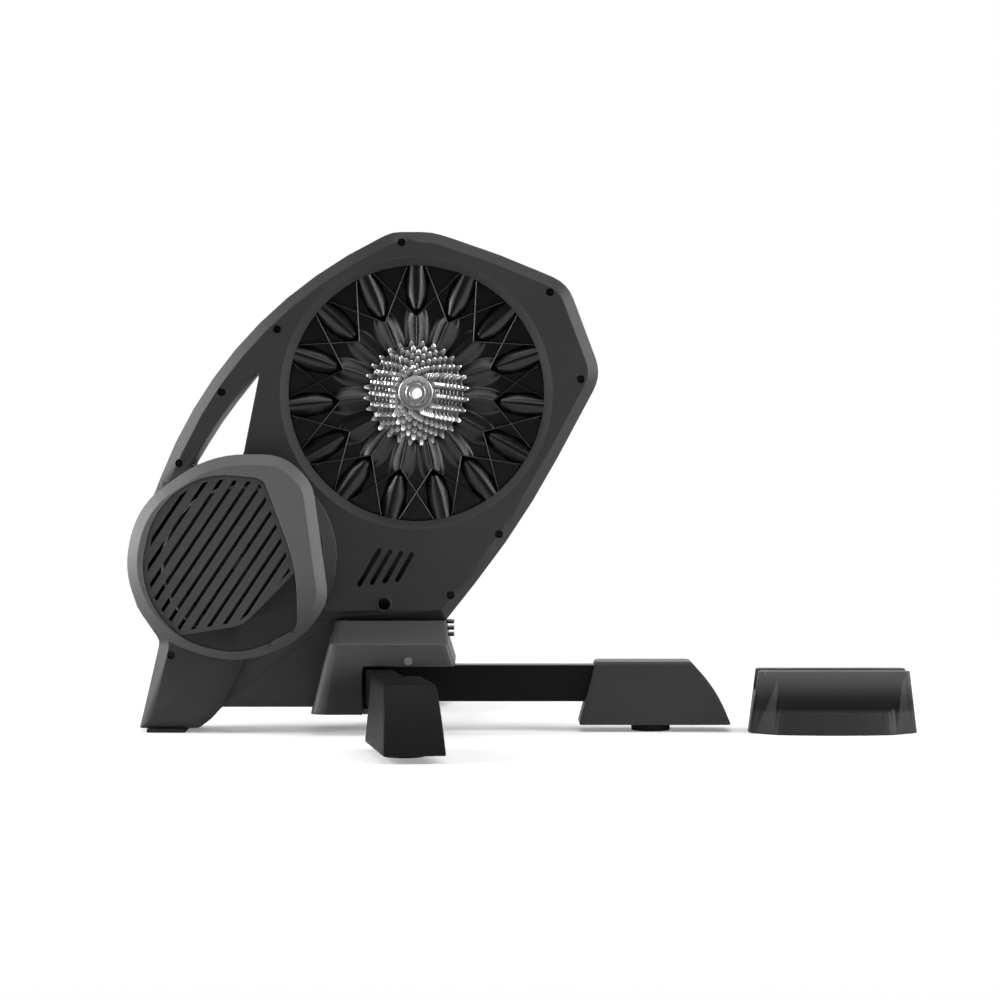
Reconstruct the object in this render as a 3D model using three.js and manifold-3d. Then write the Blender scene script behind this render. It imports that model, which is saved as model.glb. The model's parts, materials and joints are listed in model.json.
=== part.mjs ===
// A direct drive bike trainer: the bike's rear wheel comes off and its chain runs on the trainer's own
// cassette. Lengths are in millimetres. X points forward along the bike, Y away from the drive side and Z
// up. X is zero at the hub axis, Y at the seam between the casing halves and Z at the floor while it is
// built.
import * as THREE from 'three';
import { mergeVertices } from 'three/addons/utils/BufferGeometryUtils.js';
import Module from 'manifold-3d';

const wasm = await Module();
wasm.setup();

// Fits and steps shared by all pieces
const fit = 0.3;
const overrun = 5;
const smoothSteps = 36;
const turnSteps = 20;
const smallTurnSteps = 16;
const holeSteps = 12;
const curveStep = 36;
const rimSteps = 60;
const openingSteps = 72;
const wheelSteps = 144;
const hexSides = 6;
const mergeDistance = 1e-4;

// Casing halves
const casingHeight = 567;
const casingHalfWidth = 45;
const casingWall = 3;
const edgeBandWidth = 12;
const edgeBandDepth = 9;
const footWidthRecess = 15;
const lipBevel = 10;
const lipDepth = 9;
const screwHoleRadius = 4.6;
const screwPocketDepth = 12;
const screwWall = 2.4;
const guideHoleRadius = 6.8;
const guideHoleRim = 2;
const ventSlotWidth = 5;
const ventSlotLength = 50;
const ventSlotPitch = 13.2;
const ventSlotCount = 4;
const ventSlotLean = Math.PI / 6;
const ventSlotTaperShare = 0.08;

// Large pulley and its hub
const pulleyRimWidth = 22;
const pulleyRimWall = 5;
const pulleyWeb = 4;
const pulleyBackOffset = 10;
const pulleyHubRadius = 25;
const petalCount = 15;
const windowLip = 6;
const pulleyAngleSteps = 8;
const petalStartShare = 0.253;
const petalWidestShare = 0.453;
const knotShare = 0.58;
const petalHeight = 6;
const leafStartShare = 0.607;
const leafTaperShare = 0.147;
const leafHalfWidthShare = 0.073;
const leafHeight = 6;
const reliefRadiusShares = [0.2, 0.253, 0.33, 0.4, 0.453, 0.52, 0.58, 0.607, 0.64, 0.68, 0.735, 0.8, 0.88,
  0.945];

// Axle, bearings and end caps
const axleRadius = 8.5;
const axleBoreRadius = 6.45;
const axleNearReach = 85.7;
const axleFarReach = 43.7;
const bearingRadius = 14;
const bearingWidth = 7;
const endCapRadius = 11;
const endCapLength = 6;

// Cassette and freehub
const chainPitch = 12.7;
const toothAbovePitch = 2.6;
const toothBelowPitch = 3.9;
const sprocketTeeth = [28, 25, 23, 21, 19, 17, 15, 14, 13, 12, 11];
const sprocketThickness = 1.7;
const sprocketPitch = 3.75;
const freehubRadius = 16.9;
const freehubEdge = 3;
const lockringRadius = 19.1;
const lockringThickness = 2.2;

// Flywheel, its axle, its pulley and the brake
const flywheelClearance = 1.75;
const flywheelThickness = 24;
const flywheelRim = 20;
const flywheelWeb = 9;
const flywheelHubRadius = 22;
const flywheelGap = 5;
const smallPulleyRadius = 15.5;
const flywheelAxleRadius = 7.5;
const flywheelBearingRadius = 16;
const brakeWidth = 30;
const brakeThickness = 5;
const coilCount = 4;
const coilLength = 26;
const coilHeight = 14;
const coilWidth = 22;
const coilGap = 1.2;
const coreShare = 0.4;
const yokeFrom = Math.PI * 0.75;
const yokeTo = Math.PI * 1.45;

// Belt and idler
const beltWidth = 16;
const beltThickness = 2.6;
const idlerRadius = 14;
const idlerAxleRadius = 5;
const idlerArmThickness = 5;
const idlerArmWidth = 20;
const idlerArmDrop = 30;
const idlerAlongShare = 0.3;

// Drum housing, flywheel cover and grille
const drumWall = 3;
const drumDepth = 30;
const drumSweep = 14;
const coverDepth = 16;
const coverBevel = 12;
const coverBevelDepth = 9;
const grilleDepth = 3;
const grilleSink = 4;
const grilleSlotWidth = 4;
const grilleSlotPitch = 13.3;
const grilleSlotSlope = 0.98;
const grilleSlotLean = Math.PI / 2 - grilleSlotSlope;
const grilleBorder = 5;

// Frame and base
const frameThickness = 8;
const frameSlotGap = 0.9;
const frameOffset = 4;
const hubBossRadius = 30;
const flywheelBossRadius = 25;
const bossDepth = 24;
const baseHalfWidth = 88;
const baseWall = 3;
const baseShoulder = 103;
const baseRecessTop = 78;
const baseBottom = 24;
const upperPlateThickness = 10;
const lowerPlateThickness = 6;
const plateGap = 4;
const lowerPlateGap = 2.8;
const plateMargin = 5;
const baseLedge = 15;
const frameFlange = 8;
const frameFlangeHalfWidth = 30;
const baseBoltRadius = 5;
const baseBoltHead = 4;
const baseBoltLength = 18;
const finCount = 3;
const finThickness = 2.6;
const finPitchShare = 0.2;
const finReach = 9;
const finWidth = 44;

// Legs, caps and feet
const legBeamWidth = 30;
const legBeamHeight = 41.5;
const legBeamWall = 2.5;
const legBeamBottom = 33.5;
const legReach = 345;
const pivotBushRadius = 11;
const legOpenAngle = 8;
const legPivotInset = 16.25;
const pivotRadius = 6;
const pivotHeadRadius = 10;
const pivotHeadHeight = 4;
const frontLegReach = 356.5;
const capLength = 172.5;
const capTopStart = 45.5;
const capTopEnd = 153.3;
const capBottom = 8;
const capTop = 80;
const capBottomHalfWidth = 33;
const capTopHalfWidth = 28;
const capCorner = 7;
const footRadius = 22;
const footHeight = 7.7;
const studRadius = 5;
const studLength = 20;
const studTravel = 10;
const footInset = 90;
const capNose = 26;
const capNoseWall = 6;
const capEdge = 1.8;
const capTopEdge = 3;
const capFrontShares = [0.36, 0.55];
const capNoseSteps = 7;
const roundEndShare = 0.99;
const rearPadLength = 44;

// Wheel riser block
const riserLength = 191;
const riserEndSlope = 10.5;
const riserTopLength = riserLength - riserEndSlope * 2;
const riserHeight = 71;
const riserDepth = 112;
const riserTopDepth = 66;
const riserBow = 11;
const riserFlatLength = 127;
const riserFlank = 28;
const riserCorner = 8;
const riserSkirt = 26;
const riserSkirtEnd = 24;
const riserPanelDepth = 5;
const riserPanelTop = 5;
const riserPanelLean = 8;
const riserPanelBreak = 30;
const riserPanelSteps = 5;
const riserGap = 19;
const riserY = -28;
const riserWheelRadius = 340;
const riserGrooveWidth = 34;
const riserGrooveFloor = 36;
const riserPocketHeight = 20;
const riserWall = 6;
const riserCornerSteps = 3;
const riserBowSteps = 8;
const riserBowReachShare = 1 / 3;

// Power inlet, circuit board
const inletRadius = 8;
const inletBore = 3;
const inletLength = 16;
const inletFlange = 1.5;
const inletFlangeDepth = 2.1;
const boardThickness = 1.6;
const boardWidth = 70;
const boardHeight = 50;
const boardClearance = 5;

// Where the axes lie, as shares of the casing height
const hubHeightShare = 0.677;
const flywheelXShare = -0.349;
const flywheelZShare = 0.339;
const drumXShare = -0.372;
const drumRadiusShare = 0.1905;
const pulleyRadiusShare = 0.26455;
const drumZShare = 0.353;
const hubZ = casingHeight * hubHeightShare;
const flywheelX = casingHeight * flywheelXShare;
const flywheelZ = casingHeight * flywheelZShare;
const drumX = casingHeight * drumXShare;
const drumRadius = casingHeight * drumRadiusShare;
const drumZ = casingHeight * drumZShare;
const pulleyRadius = casingHeight * pulleyRadiusShare;
const drumOffset = Math.hypot(drumX - flywheelX, drumZ - flywheelZ);
const flywheelRadius = drumRadius - drumWall - flywheelClearance - drumOffset;

// The base cover's back and front edges, and how far its rear corners are cut off, as shares of the casing
// height, from its foot to its top
const baseBackShares = [-0.208, -0.184, -0.1715, -0.1623];
const baseFrontShares = [0.088, 0.0776, 0.0645, 0.0591];
const baseCutShares = [0.0282, 0.0223, 0.0124, 0.0106];
const baseCutDepthShare = 0.6;
const baseCutRoundShare = 0.4;
const baseRecessShare = -0.1045;
const baseBoltShare = 0.09;
const recessBack = casingHeight * baseRecessShare;
const legPivotX = recessBack + legPivotInset;
const legPivotY = baseHalfWidth - legPivotInset;

// Outlines in X and Z as shares of the casing height: each corner is X, Z and how far its rounding reaches.
const casingCornerShares = [
  [0.0591, 0.2245, 0.004], [0.2108, 0.4161, 0.15], [0.37, 0.7134, 0.036], [0.3019, 0.8958, 0.032],
  [0.1667, 0.9555, 0.1], [0.0312, 0.9988, 0.02], [-0.0483, 0.9988, 0.016], [-0.3845, 0.8342, 0.35],
  [-0.572, 0.35, 0.055], [-0.565, 0.26, 0.03], [-0.5115, 0.183, 0.01], [-0.552, 0.0088, 0.004],
  [-0.4339, 0.0088, 0.006], [-0.4086, 0.0279, 0.004], [-0.3868, 0.0517, 0.004], [-0.3393, 0.15, 0.02],
  [-0.24, 0.2245, 0.02],
];
const webCornerShares = [
  [-0.41, 0.0503, 0.002], [-0.15, 0.0503, 0.002], [-0.15, 0.3, 0.01],
  [-0.41, 0.3, 0.01],
];
const windowCornerShares = [
  [-0.309, 0.733, 0.034], [-0.3455, 0.549, 0.012], [-0.452, 0.529, 0.012], [-0.397, 0.621, 0.05],
];
const coverCornerShares = [
  [-0.171, 0.266, 0.028], [-0.203, 0.5, 0.03], [-0.262, 0.556, 0.04], [-0.405, 0.556, 0.07],
  [-0.548, 0.458, 0.07], [-0.58, 0.312, 0.072], [-0.508, 0.188, 0.065], [-0.354, 0.139, 0.07],
  [-0.226, 0.186, 0.05],
];
const grilleCornerShares = [
  [-0.2335, 0.213, 0.012], [-0.2335, 0.33, 0.06], [-0.3, 0.508, 0.016], [-0.425, 0.52, 0.065],
  [-0.519, 0.44, 0.055], [-0.547, 0.3, 0.07], [-0.47, 0.19, 0.06], [-0.34, 0.158, 0.06],
];
const panelCornerShares = [
  [-0.2, 0.36, 0], [-0.34, 0.2185, 0.02], [-0.6, 0.176, 0], [-0.6, 0, 0], [-0.2, 0, 0],
];
const screwPlaceShares = [
  [-0.0295, 0.9775], [0.2661, 0.8779], [0.3278, 0.7047], [-0.2773, 0.8042], [-0.3878, 0.6788],
  [-0.4724, 0.5375], [0.1646, 0.3961], [0.0683, 0.2747], [-0.4883, 0.1553],
];
const rearFootShares = [-0.499, 0.0088];
const inletShares = [-0.1, 0.36];
const frameSlotShares = [-0.25, 0.05];
const guideHoleShares = [-0.0643, 0.2568];
const ventCentreShares = [-0.0585, 0.3305];
const frameCornerShares = [
  [-0.13, 0.12, 0.01], [0.02, 0.12, 0.01], [0.02, 0.3, 0.06], [0.075, 0.66, 0.05], [0.02, 0.745, 0.04],
  [-0.06, 0.72, 0.04], [-0.5, 0.41, 0.05], [-0.47, 0.23, 0.05], [-0.2, 0.25, 0.04], [-0.13, 0.235, 0.01],
];
const baseTop = casingHeight * casingCornerShares[0][1] - fit;

// Colours
const colour = (hex, roughness, metalness) => new THREE.MeshStandardMaterial(
  { color: hex, roughness, metalness },
);
const casingGrey = colour(0x3c3d3f, 0.62, 0);
const coverGrey = colour(0x4a4b4d, 0.6, 0);
const grilleGrey = colour(0x333436, 0.6, 0);
const panelBlack = colour(0x1b1c1e, 0.45, 0);
const pulleyBlack = colour(0x101112, 0.35, 0);
const capGrey = colour(0x303133, 0.6, 0);
const beamBlack = colour(0x141516, 0.5, 0.3);
const steel = colour(0xb9bbbd, 0.3, 0.95);
const darkSteel = colour(0x55585a, 0.45, 0.8);
const aluminium = colour(0xa3a6a8, 0.4, 0.85);
const rubber = colour(0x121212, 0.9, 0);
const copper = colour(0xa8633a, 0.4, 0.8);
const boardGreen = colour(0x1f4d33, 0.6, 0);
const riserBlack = colour(0x1d1e20, 0.42, 0);

// A closed solid from positions and triangles, turned outward whichever way it was wound.
function closed(positions, triangles) {
  const geometry = new THREE.BufferGeometry();
  geometry.setAttribute('position', new THREE.Float32BufferAttribute(positions, 3));
  geometry.setIndex(triangles);
  return solid(geometry);
}

function solid(geometry) {
  const bare = geometry.clone();
  bare.deleteAttribute('normal');
  bare.deleteAttribute('uv');
  const merged = mergeVertices(bare, mergeDistance);
  const vertProperties = new Float32Array(merged.attributes.position.array);
  const triVerts = new Uint32Array(merged.index.array);
  let volume = 0;
  const [a, b, c] = [new THREE.Vector3(), new THREE.Vector3(), new THREE.Vector3()];
  for (let i = 0; i < triVerts.length; i += 3) {
    a.fromArray(vertProperties, triVerts[i] * 3);
    b.fromArray(vertProperties, triVerts[i + 1] * 3);
    c.fromArray(vertProperties, triVerts[i + 2] * 3);
    volume += a.dot(b.cross(c));
  }
  if (volume < 0) {
    for (let i = 0; i < triVerts.length; i += 3) {
      [triVerts[i + 1], triVerts[i + 2]] = [triVerts[i + 2], triVerts[i + 1]];
    }
  }
  return new wasm.Manifold(new wasm.Mesh({ numProp: 3, vertProperties, triVerts }));
}

function geometryOf(manifold) {
  const { vertProperties, triVerts } = manifold.getMesh();
  const geometry = new THREE.BufferGeometry();
  geometry.setAttribute('position', new THREE.BufferAttribute(new Float32Array(vertProperties), 3));
  geometry.setIndex(new THREE.BufferAttribute(new Uint32Array(triVerts), 1));
  geometry.computeVertexNormals();
  return geometry;
}

const group = new THREE.Group();

function add(name, manifold, material) {
  const mesh = new THREE.Mesh(geometryOf(manifold), material);
  mesh.name = name;
  group.add(mesh);
}

// Outlines

// Rounds each corner of a polygon: a corner is X, Z and how far along its edges the rounding reaches.
// A fourth value may give its steps. The polygon may be moved inward by a distance, or outward where it is
// negative, and keeps its number of points.
function rounded(corners, distance = 0) {
  const sharp = corners.map(([x, z]) => new THREE.Vector2(x, z));
  const side = THREE.ShapeUtils.isClockWise(sharp) ? -1 : 1;
  const points = [];
  corners.forEach((place, i) => {
    const corner = sharp[i];
    const inEdge = corner.clone().sub(sharp[(i + sharp.length - 1) % sharp.length]).normalize();
    const outEdge = sharp[(i + 1) % sharp.length].clone().sub(corner).normalize();
    const turn = side * Math.atan2(inEdge.cross(outEdge), inEdge.dot(outEdge));
    const normal = new THREE.Vector2(-inEdge.y - outEdge.y,
      inEdge.x + outEdge.x).multiplyScalar(side).normalize();
    const moved = corner.clone().addScaledVector(normal, distance / Math.cos(turn / 2));
    if (place[2] === 0) {
      points.push(moved);
      return;
    }
    const reach = Math.max(fit, place[2] - distance * Math.tan(turn / 2));
    const start = moved.clone().addScaledVector(inEdge, -reach);
    const end = moved.clone().addScaledVector(outEdge, reach);
    const wanted = (Math.abs(turn) / Math.PI) * curveStep * Math.min(1, place[2] / casingHalfWidth);
    const steps = place[3] ?? Math.max(2, Math.ceil(wanted));
    points.push(...new THREE.QuadraticBezierCurve(start, moved, end).getPoints(steps));
  });
  return points;
}

const sized = (shares, size) => shares.map((corner) => corner.map((share) => share * size));
const outline = (shares, distance) => rounded(sized(shares, casingHeight), distance);

function circle(x, z, radius, steps) {
  return Array.from({ length: steps }, (_, i) => {
    const angle = (i / steps) * Math.PI * 2;
    return new THREE.Vector2(x + radius * Math.cos(angle), z + radius * Math.sin(angle));
  });
}

// Solids

// Joins rings of equal point counts into one closed solid, capped at both ends.
function loft(rings) {
  const count = rings[0].length;
  const positions = rings.flat().flatMap((p) => [p.x, p.y, p.z]);
  const triangles = [];
  for (let r = 0; r < rings.length - 1; r += 1) {
    for (let i = 0; i < count; i += 1) {
      const j = (i + 1) % count;
      const [a, b, c, d] = [r * count + i, r * count + j, (r + 1) * count + j, (r + 1) * count + i];
      triangles.push(a, b, c, a, c, d);
    }
  }
  const flat = (ring) => {
    const normal = new THREE.Vector3();
    const middle = ring.reduce((sum, p) => sum.add(p), new THREE.Vector3()).divideScalar(ring.length);
    ring.forEach((p, i) => {
      const next = ring[(i + 1) % ring.length];
      normal.add(p.clone().sub(middle).cross(next.clone().sub(middle)));
    });
    normal.normalize();
    const across = ring[1].clone().sub(ring[0]).normalize();
    const up = normal.clone().cross(across);
    return ring.map((p) => new THREE.Vector2(p.dot(across), p.dot(up)));
  };
  const last = (rings.length - 1) * count;
  for (const [a, b, c] of THREE.ShapeUtils.triangulateShape(flat(rings[0]), [])) {
    triangles.push(a, c, b);
  }
  for (const [a, b, c] of THREE.ShapeUtils.triangulateShape(flat(rings[rings.length - 1]), [])) {
    triangles.push(last + a, last + b, last + c);
  }
  return closed(positions, triangles);
}

// Stacks outlines drawn in X and Z at depths along Y: each layer is its points and its Y.
const stack = (...layers) => loft(
  layers.map(([points, y]) => points.map((p) => new THREE.Vector3(p.x, y, p.y))),
);
const plate = (points, y0, y1) => stack([points, y0], [points, y1]);

// Stacks outlines drawn in X and Y at heights along Z.
const pile = (...layers) => loft(
  layers.map(([points, z]) => points.map((p) => new THREE.Vector3(p.x, p.y, z))),
);

// Turns a profile of radius and Y about an axis along Y.
function turned(profile, x, z, steps = turnSteps) {
  const points = profile.map(([radius, y]) => new THREE.Vector2(radius, y));
  const geometry = new THREE.LatheGeometry(points, steps);
  return solid(geometry).translate([x, 0, z]);
}

const disc = (radius, y0, y1, x, z, steps) => turned(
  [[0, y0], [radius, y0], [radius, y1], [0, y1]], x, z, steps,
);
function ring(inner, outer, y0, y1, x, z, steps) {
  return turned([[inner, y0], [outer, y0], [outer, y1], [inner, y1], [inner, y0]], x, z, steps);
}

// A round post along Z.
function post(radius, z0, z1, x, y, steps = smallTurnSteps) {
  return pile([circle(x, y, radius, steps), z0], [circle(x, y, radius, steps), z1]);
}

function box(x0, x1, y0, y1, z0, z1) {
  const geometry = new THREE.BoxGeometry(x1 - x0, y1 - y0, z1 - z0);
  return solid(geometry).translate([(x0 + x1) / 2, (y0 + y1) / 2, (z0 + z1) / 2]);
}

// A box with both ends rounded in X and Z, leaning from the vertical, its middle at a place.
function slot(width, length, lean, x, z, y0, y1) {
  const half = length / 2 - width / 2;
  const points = [];
  for (const end of [1, -1]) {
    for (let i = 0; i <= holeSteps / 2; i += 1) {
      const angle = (i / (holeSteps / 2)) * Math.PI + (end > 0 ? 0 : Math.PI);
      points.push(new THREE.Vector2((width / 2) * Math.cos(angle),
        end * half + (width / 2) * Math.sin(angle)));
    }
  }
  const middle = new THREE.Vector2(x, z);
  return plate(points.map((p) => p.rotateAround(new THREE.Vector2(), -lean).add(middle)), y0, y1);
}

const nearFace = -casingHalfWidth;
const farFace = casingHalfWidth;

// Pulley and hub places along Y
const pulleyBack = -pulleyBackOffset;
const pulleyFront = pulleyBack - pulleyRimWidth;
const beltMiddle = (pulleyBack + pulleyFront) / 2;
const openingRadius = pulleyRadius - windowLip;

// Heights in the base, and the space that its cover fills
const legTop = legBeamBottom + legBeamHeight;
const upperPlateBottom = legTop + plateGap;
const upperPlateTop = upperPlateBottom + upperPlateThickness;
const lowerPlateTop = legBeamBottom - lowerPlateGap;
const lowerPlateBottom = lowerPlateTop - lowerPlateThickness;
const baseLevels = [baseBottom, legTop + plateGap, baseShoulder, baseTop].map((z, i) => ({
  z,
  back: casingHeight * baseBackShares[i],
  front: casingHeight * baseFrontShares[i],
  cut: casingHeight * baseCutShares[i],
  half: z > baseShoulder ? casingHalfWidth + casingWall : baseHalfWidth,
}));
function baseRing({ back, front, cut, half, z }, distance) {
  const slope = half - cut * baseCutDepthShare;
  const cutRound = Math.min(capCorner, cut * baseCutRoundShare);
  return [rounded([
    [back + cut, -half, cutRound], [front, -half, capCorner], [front, half, capCorner],
    [back + cut, half, cutRound], [back, slope, cutRound], [back, -slope, cutRound],
  ], distance), z];
}
const baseSolid = (distance, lift = 0) => pile(...baseLevels.map((level) => {
  const [points, z] = baseRing(level, distance);
  return [points, z + lift];
}));

// Casing halves: moulded shells that meet at the seam, with the handle window through both.
const webOutline = outline(webCornerShares);
const windowOutline = outline(windowCornerShares);

// The space of one casing half with a sloping band round its face, moved inward by a distance.
function casingSpace(side, distance, start, end) {
  const edge = outline(casingCornerShares, distance);
  return stack(
    [edge, side * start],
    [edge, side * (end - edgeBandDepth)],
    [outline(casingCornerShares, edgeBandWidth + distance), side * end],
  );
}

function casingHalf(side) {
  const at = (depth) => side * depth;
  let shell = casingSpace(side, 0, fit / 2, casingHalfWidth);
  shell = shell.add(plate(webOutline, at(fit / 2), at(casingHalfWidth - footWidthRecess)));
  let hollow = casingSpace(side, casingWall, -overrun, casingHalfWidth - casingWall);
  const webHollow = outline(webCornerShares, casingWall);
  hollow = hollow.add(plate(webHollow, at(-overrun), at(casingHalfWidth - footWidthRecess - casingWall)));
  const windowWall = plate(outline(windowCornerShares, -casingWall), at(-overrun), at(casingHalfWidth));
  hollow = hollow.subtract(windowWall);
  shell = shell.subtract(hollow);
  return shell.subtract(plate(windowOutline, at(-overrun), at(casingHalfWidth + overrun)));
}

const screwPlaces = sized(screwPlaceShares, casingHeight);

let nearCasing = casingHalf(-1);
const drumFront = nearFace - drumDepth;
const drumInner = drumRadius - drumWall;
const drumSpace = (radius, front, back) => disc(radius, front, back, drumX, drumZ, smoothSteps).add(stack(
  [circle(drumX, drumZ, radius, smoothSteps), front],
  [circle(drumX + drumSweep, drumZ, radius, smoothSteps), back],
));
nearCasing = nearCasing.add(drumSpace(drumRadius, drumFront, nearFace + casingWall));
nearCasing = nearCasing.subtract(drumSpace(drumInner, drumFront - overrun, nearFace + overrun));
const nearInside = casingSpace(-1, casingWall / 2, 0, casingHalfWidth - casingWall / 2);
for (const [x, z] of screwPlaces) {
  const sleeve = disc(screwHoleRadius + screwWall, nearFace, nearFace + screwPocketDepth, x, z, holeSteps);
  nearCasing = nearCasing.add(sleeve.intersect(nearInside));
  nearCasing = nearCasing.subtract(
    disc(screwHoleRadius, nearFace - overrun, nearFace + screwPocketDepth - casingWall, x, z, holeSteps),
  );
}
const lipProfile = [
  [0, nearFace - overrun], [openingRadius + lipBevel, nearFace - overrun],
  [openingRadius + lipBevel, nearFace], [openingRadius, nearFace + lipDepth],
  [openingRadius, nearFace + lipDepth + overrun],
  [0, nearFace + lipDepth + overrun],
];
const lipRing = ring(openingRadius - overrun, openingRadius + lipBevel + casingWall, nearFace,
  nearFace + lipDepth, 0, hubZ, openingSteps);
nearCasing = nearCasing.add(lipRing.intersect(nearInside));
nearCasing = nearCasing.subtract(turned(lipProfile, 0, hubZ, openingSteps));
const [ventX, ventZ] = sized([ventCentreShares], casingHeight)[0];
for (let i = 0; i < ventSlotCount; i += 1) {
  const x = ventX + (i - (ventSlotCount - 1) / 2) * ventSlotPitch;
  const length = ventSlotLength * (1 - i * ventSlotTaperShare);
  nearCasing = nearCasing.subtract(
    slot(ventSlotWidth, length, ventSlotLean, x, ventZ, nearFace - overrun, nearFace + overrun),
  );
}
const [guideX, guideZ] = sized([guideHoleShares], casingHeight)[0];
nearCasing = nearCasing.add(
  ring(guideHoleRadius, guideHoleRadius + guideHoleRim, nearFace - guideHoleRim / 2,
    nearFace + casingWall / 2, guideX, guideZ, smallTurnSteps),
);
nearCasing = nearCasing.subtract(
  disc(guideHoleRadius, nearFace - overrun, nearFace + overrun, guideX, guideZ, smallTurnSteps),
);
nearCasing = nearCasing.subtract(baseSolid(-fit, fit / 2));
add('drive_side_casing', nearCasing, casingGrey);

const [inletX, inletZ] = sized([inletShares], casingHeight)[0];
let farCasing = casingHalf(1);
farCasing = farCasing.subtract(disc(endCapRadius + fit, farFace - overrun, farFace + overrun, 0, hubZ));
farCasing = farCasing.subtract(
  disc(inletRadius + fit, farFace - overrun, farFace + overrun, inletX, inletZ, smallTurnSteps),
);
farCasing = farCasing.subtract(baseSolid(-fit, fit / 2));
const [frameSlotBack, frameSlotFront] = sized([frameSlotShares], casingHeight)[0];
farCasing = farCasing.subtract(box(frameSlotBack, frameSlotFront, frameOffset - frameSlotGap,
  frameOffset + frameThickness + frameSlotGap, 0, baseTop + frameFlange));
add('far_side_casing', farCasing, casingGrey);

// Power inlet in the far side
add('power_inlet', ring(inletBore, inletRadius, farFace - inletLength, farFace, inletX, inletZ,
  smallTurnSteps)
  .add(ring(inletBore, inletRadius + inletFlange, farFace - casingWall - fit - inletFlangeDepth,
    farFace - casingWall - fit, inletX, inletZ, smallTurnSteps)), rubber);

// Flywheel cover, grille and the dark panel at the grille's foot
const coverOutline = outline(coverCornerShares);
const grilleOutline = outline(grilleCornerShares);
const coverBack = drumFront - fit;
const coverFront = coverBack - coverDepth;
const cover = stack(
  [outline(coverCornerShares, fit), coverBack],
  [coverOutline, coverBack - (coverDepth - coverBevelDepth)],
  [outline(coverCornerShares, coverBevel), coverFront],
);
const coverHollow = plate(outline(coverCornerShares, coverBevel), coverBack + overrun,
  coverFront + grilleSink + grilleDepth + fit);
add('flywheel_cover', cover.subtract(coverHollow).subtract(
  plate(grilleOutline, coverBack, coverFront - overrun)), coverGrey);

const grilleFront = coverFront + grilleSink;
const grilleBack = grilleFront + grilleDepth;
const grillePlate = plate(outline(grilleCornerShares, fit), grilleFront, grilleBack);
const panelOutline = outline(panelCornerShares);
const slotField = plate(outline(grilleCornerShares, grilleBorder), grilleFront - overrun,
  grilleBack + overrun)
  .subtract(plate(outline(panelCornerShares, -grilleBorder), grilleFront - overrun * 2,
    grilleBack + overrun * 2));
let slots = null;
const slotLength = drumRadius * 3;
const slotReach = Math.ceil(drumRadius / grilleSlotPitch);
for (let i = -slotReach; i <= slotReach; i += 1) {
  const x = drumX + (i * grilleSlotPitch) / Math.cos(grilleSlotLean);
  const bar = slot(grilleSlotWidth, slotLength, grilleSlotLean, x, drumZ, grilleFront - overrun / 2,
    grilleBack + overrun / 2);
  slots = slots ? slots.add(bar) : bar;
}
add('flywheel_grille', grillePlate.subtract(plate(panelOutline, grilleFront - overrun, grilleBack + overrun))
  .subtract(slots.intersect(slotField)), grilleGrey);
add('grille_panel', grillePlate.intersect(
  plate(outline(panelCornerShares, fit), grilleFront - overrun, grilleBack + overrun)), panelBlack);

// Main frame: a plate with bosses that carry the hub axle and the flywheel axle.
const frameNear = frameOffset;
const frameFar = frameOffset + frameThickness;
const bossFar = frameFar + bossDepth;
let frame = plate(outline(frameCornerShares), frameNear, frameFar);
frame = frame.add(disc(hubBossRadius, frameNear, bossFar, 0, hubZ));
frame = frame.add(disc(flywheelBossRadius, frameNear, bossFar, flywheelX, flywheelZ));
frame = frame.subtract(box(-casingHeight, casingHeight, -casingHeight, casingHeight, 0, upperPlateTop + fit));
frame = frame.add(box(casingHeight * frameCornerShares[0][0],
  casingHeight * frameCornerShares[1][0] - plateMargin,
  -frameFlangeHalfWidth, frameFlangeHalfWidth, upperPlateTop + fit, upperPlateTop + fit + frameFlange));
frame = frame.subtract(disc(axleRadius + fit, frameNear - overrun, bossFar + overrun, 0, hubZ));
frame = frame.subtract(disc(flywheelBearingRadius + fit, frameNear - overrun, bossFar + overrun, flywheelX,
  flywheelZ));
add('main_frame', frame, darkSteel);

// Hub axle, its end caps and bearings
add('hub_axle', ring(axleBoreRadius, axleRadius, -axleNearReach, axleFarReach, 0, hubZ, smallTurnSteps),
  steel);
const endCap = (y) => ring(axleBoreRadius, endCapRadius, y, y + endCapLength, 0, hubZ);
add('near_end_cap', endCap(-axleNearReach - fit - endCapLength), darkSteel);
add('far_end_cap', endCap(axleFarReach + fit), darkSteel);
const bearing = (y, x, z, bore, radius) => ring(bore, radius, y, y + bearingWidth, x, z, smallTurnSteps);
const nearBearingY = pulleyFront;
const farBearingY = pulleyBack - bearingWidth;
add('pulley_bearing_near', bearing(nearBearingY, 0, hubZ, axleRadius + fit, bearingRadius), steel);
add('pulley_bearing_far', bearing(farBearingY, 0, hubZ, axleRadius + fit, bearingRadius), steel);

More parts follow.
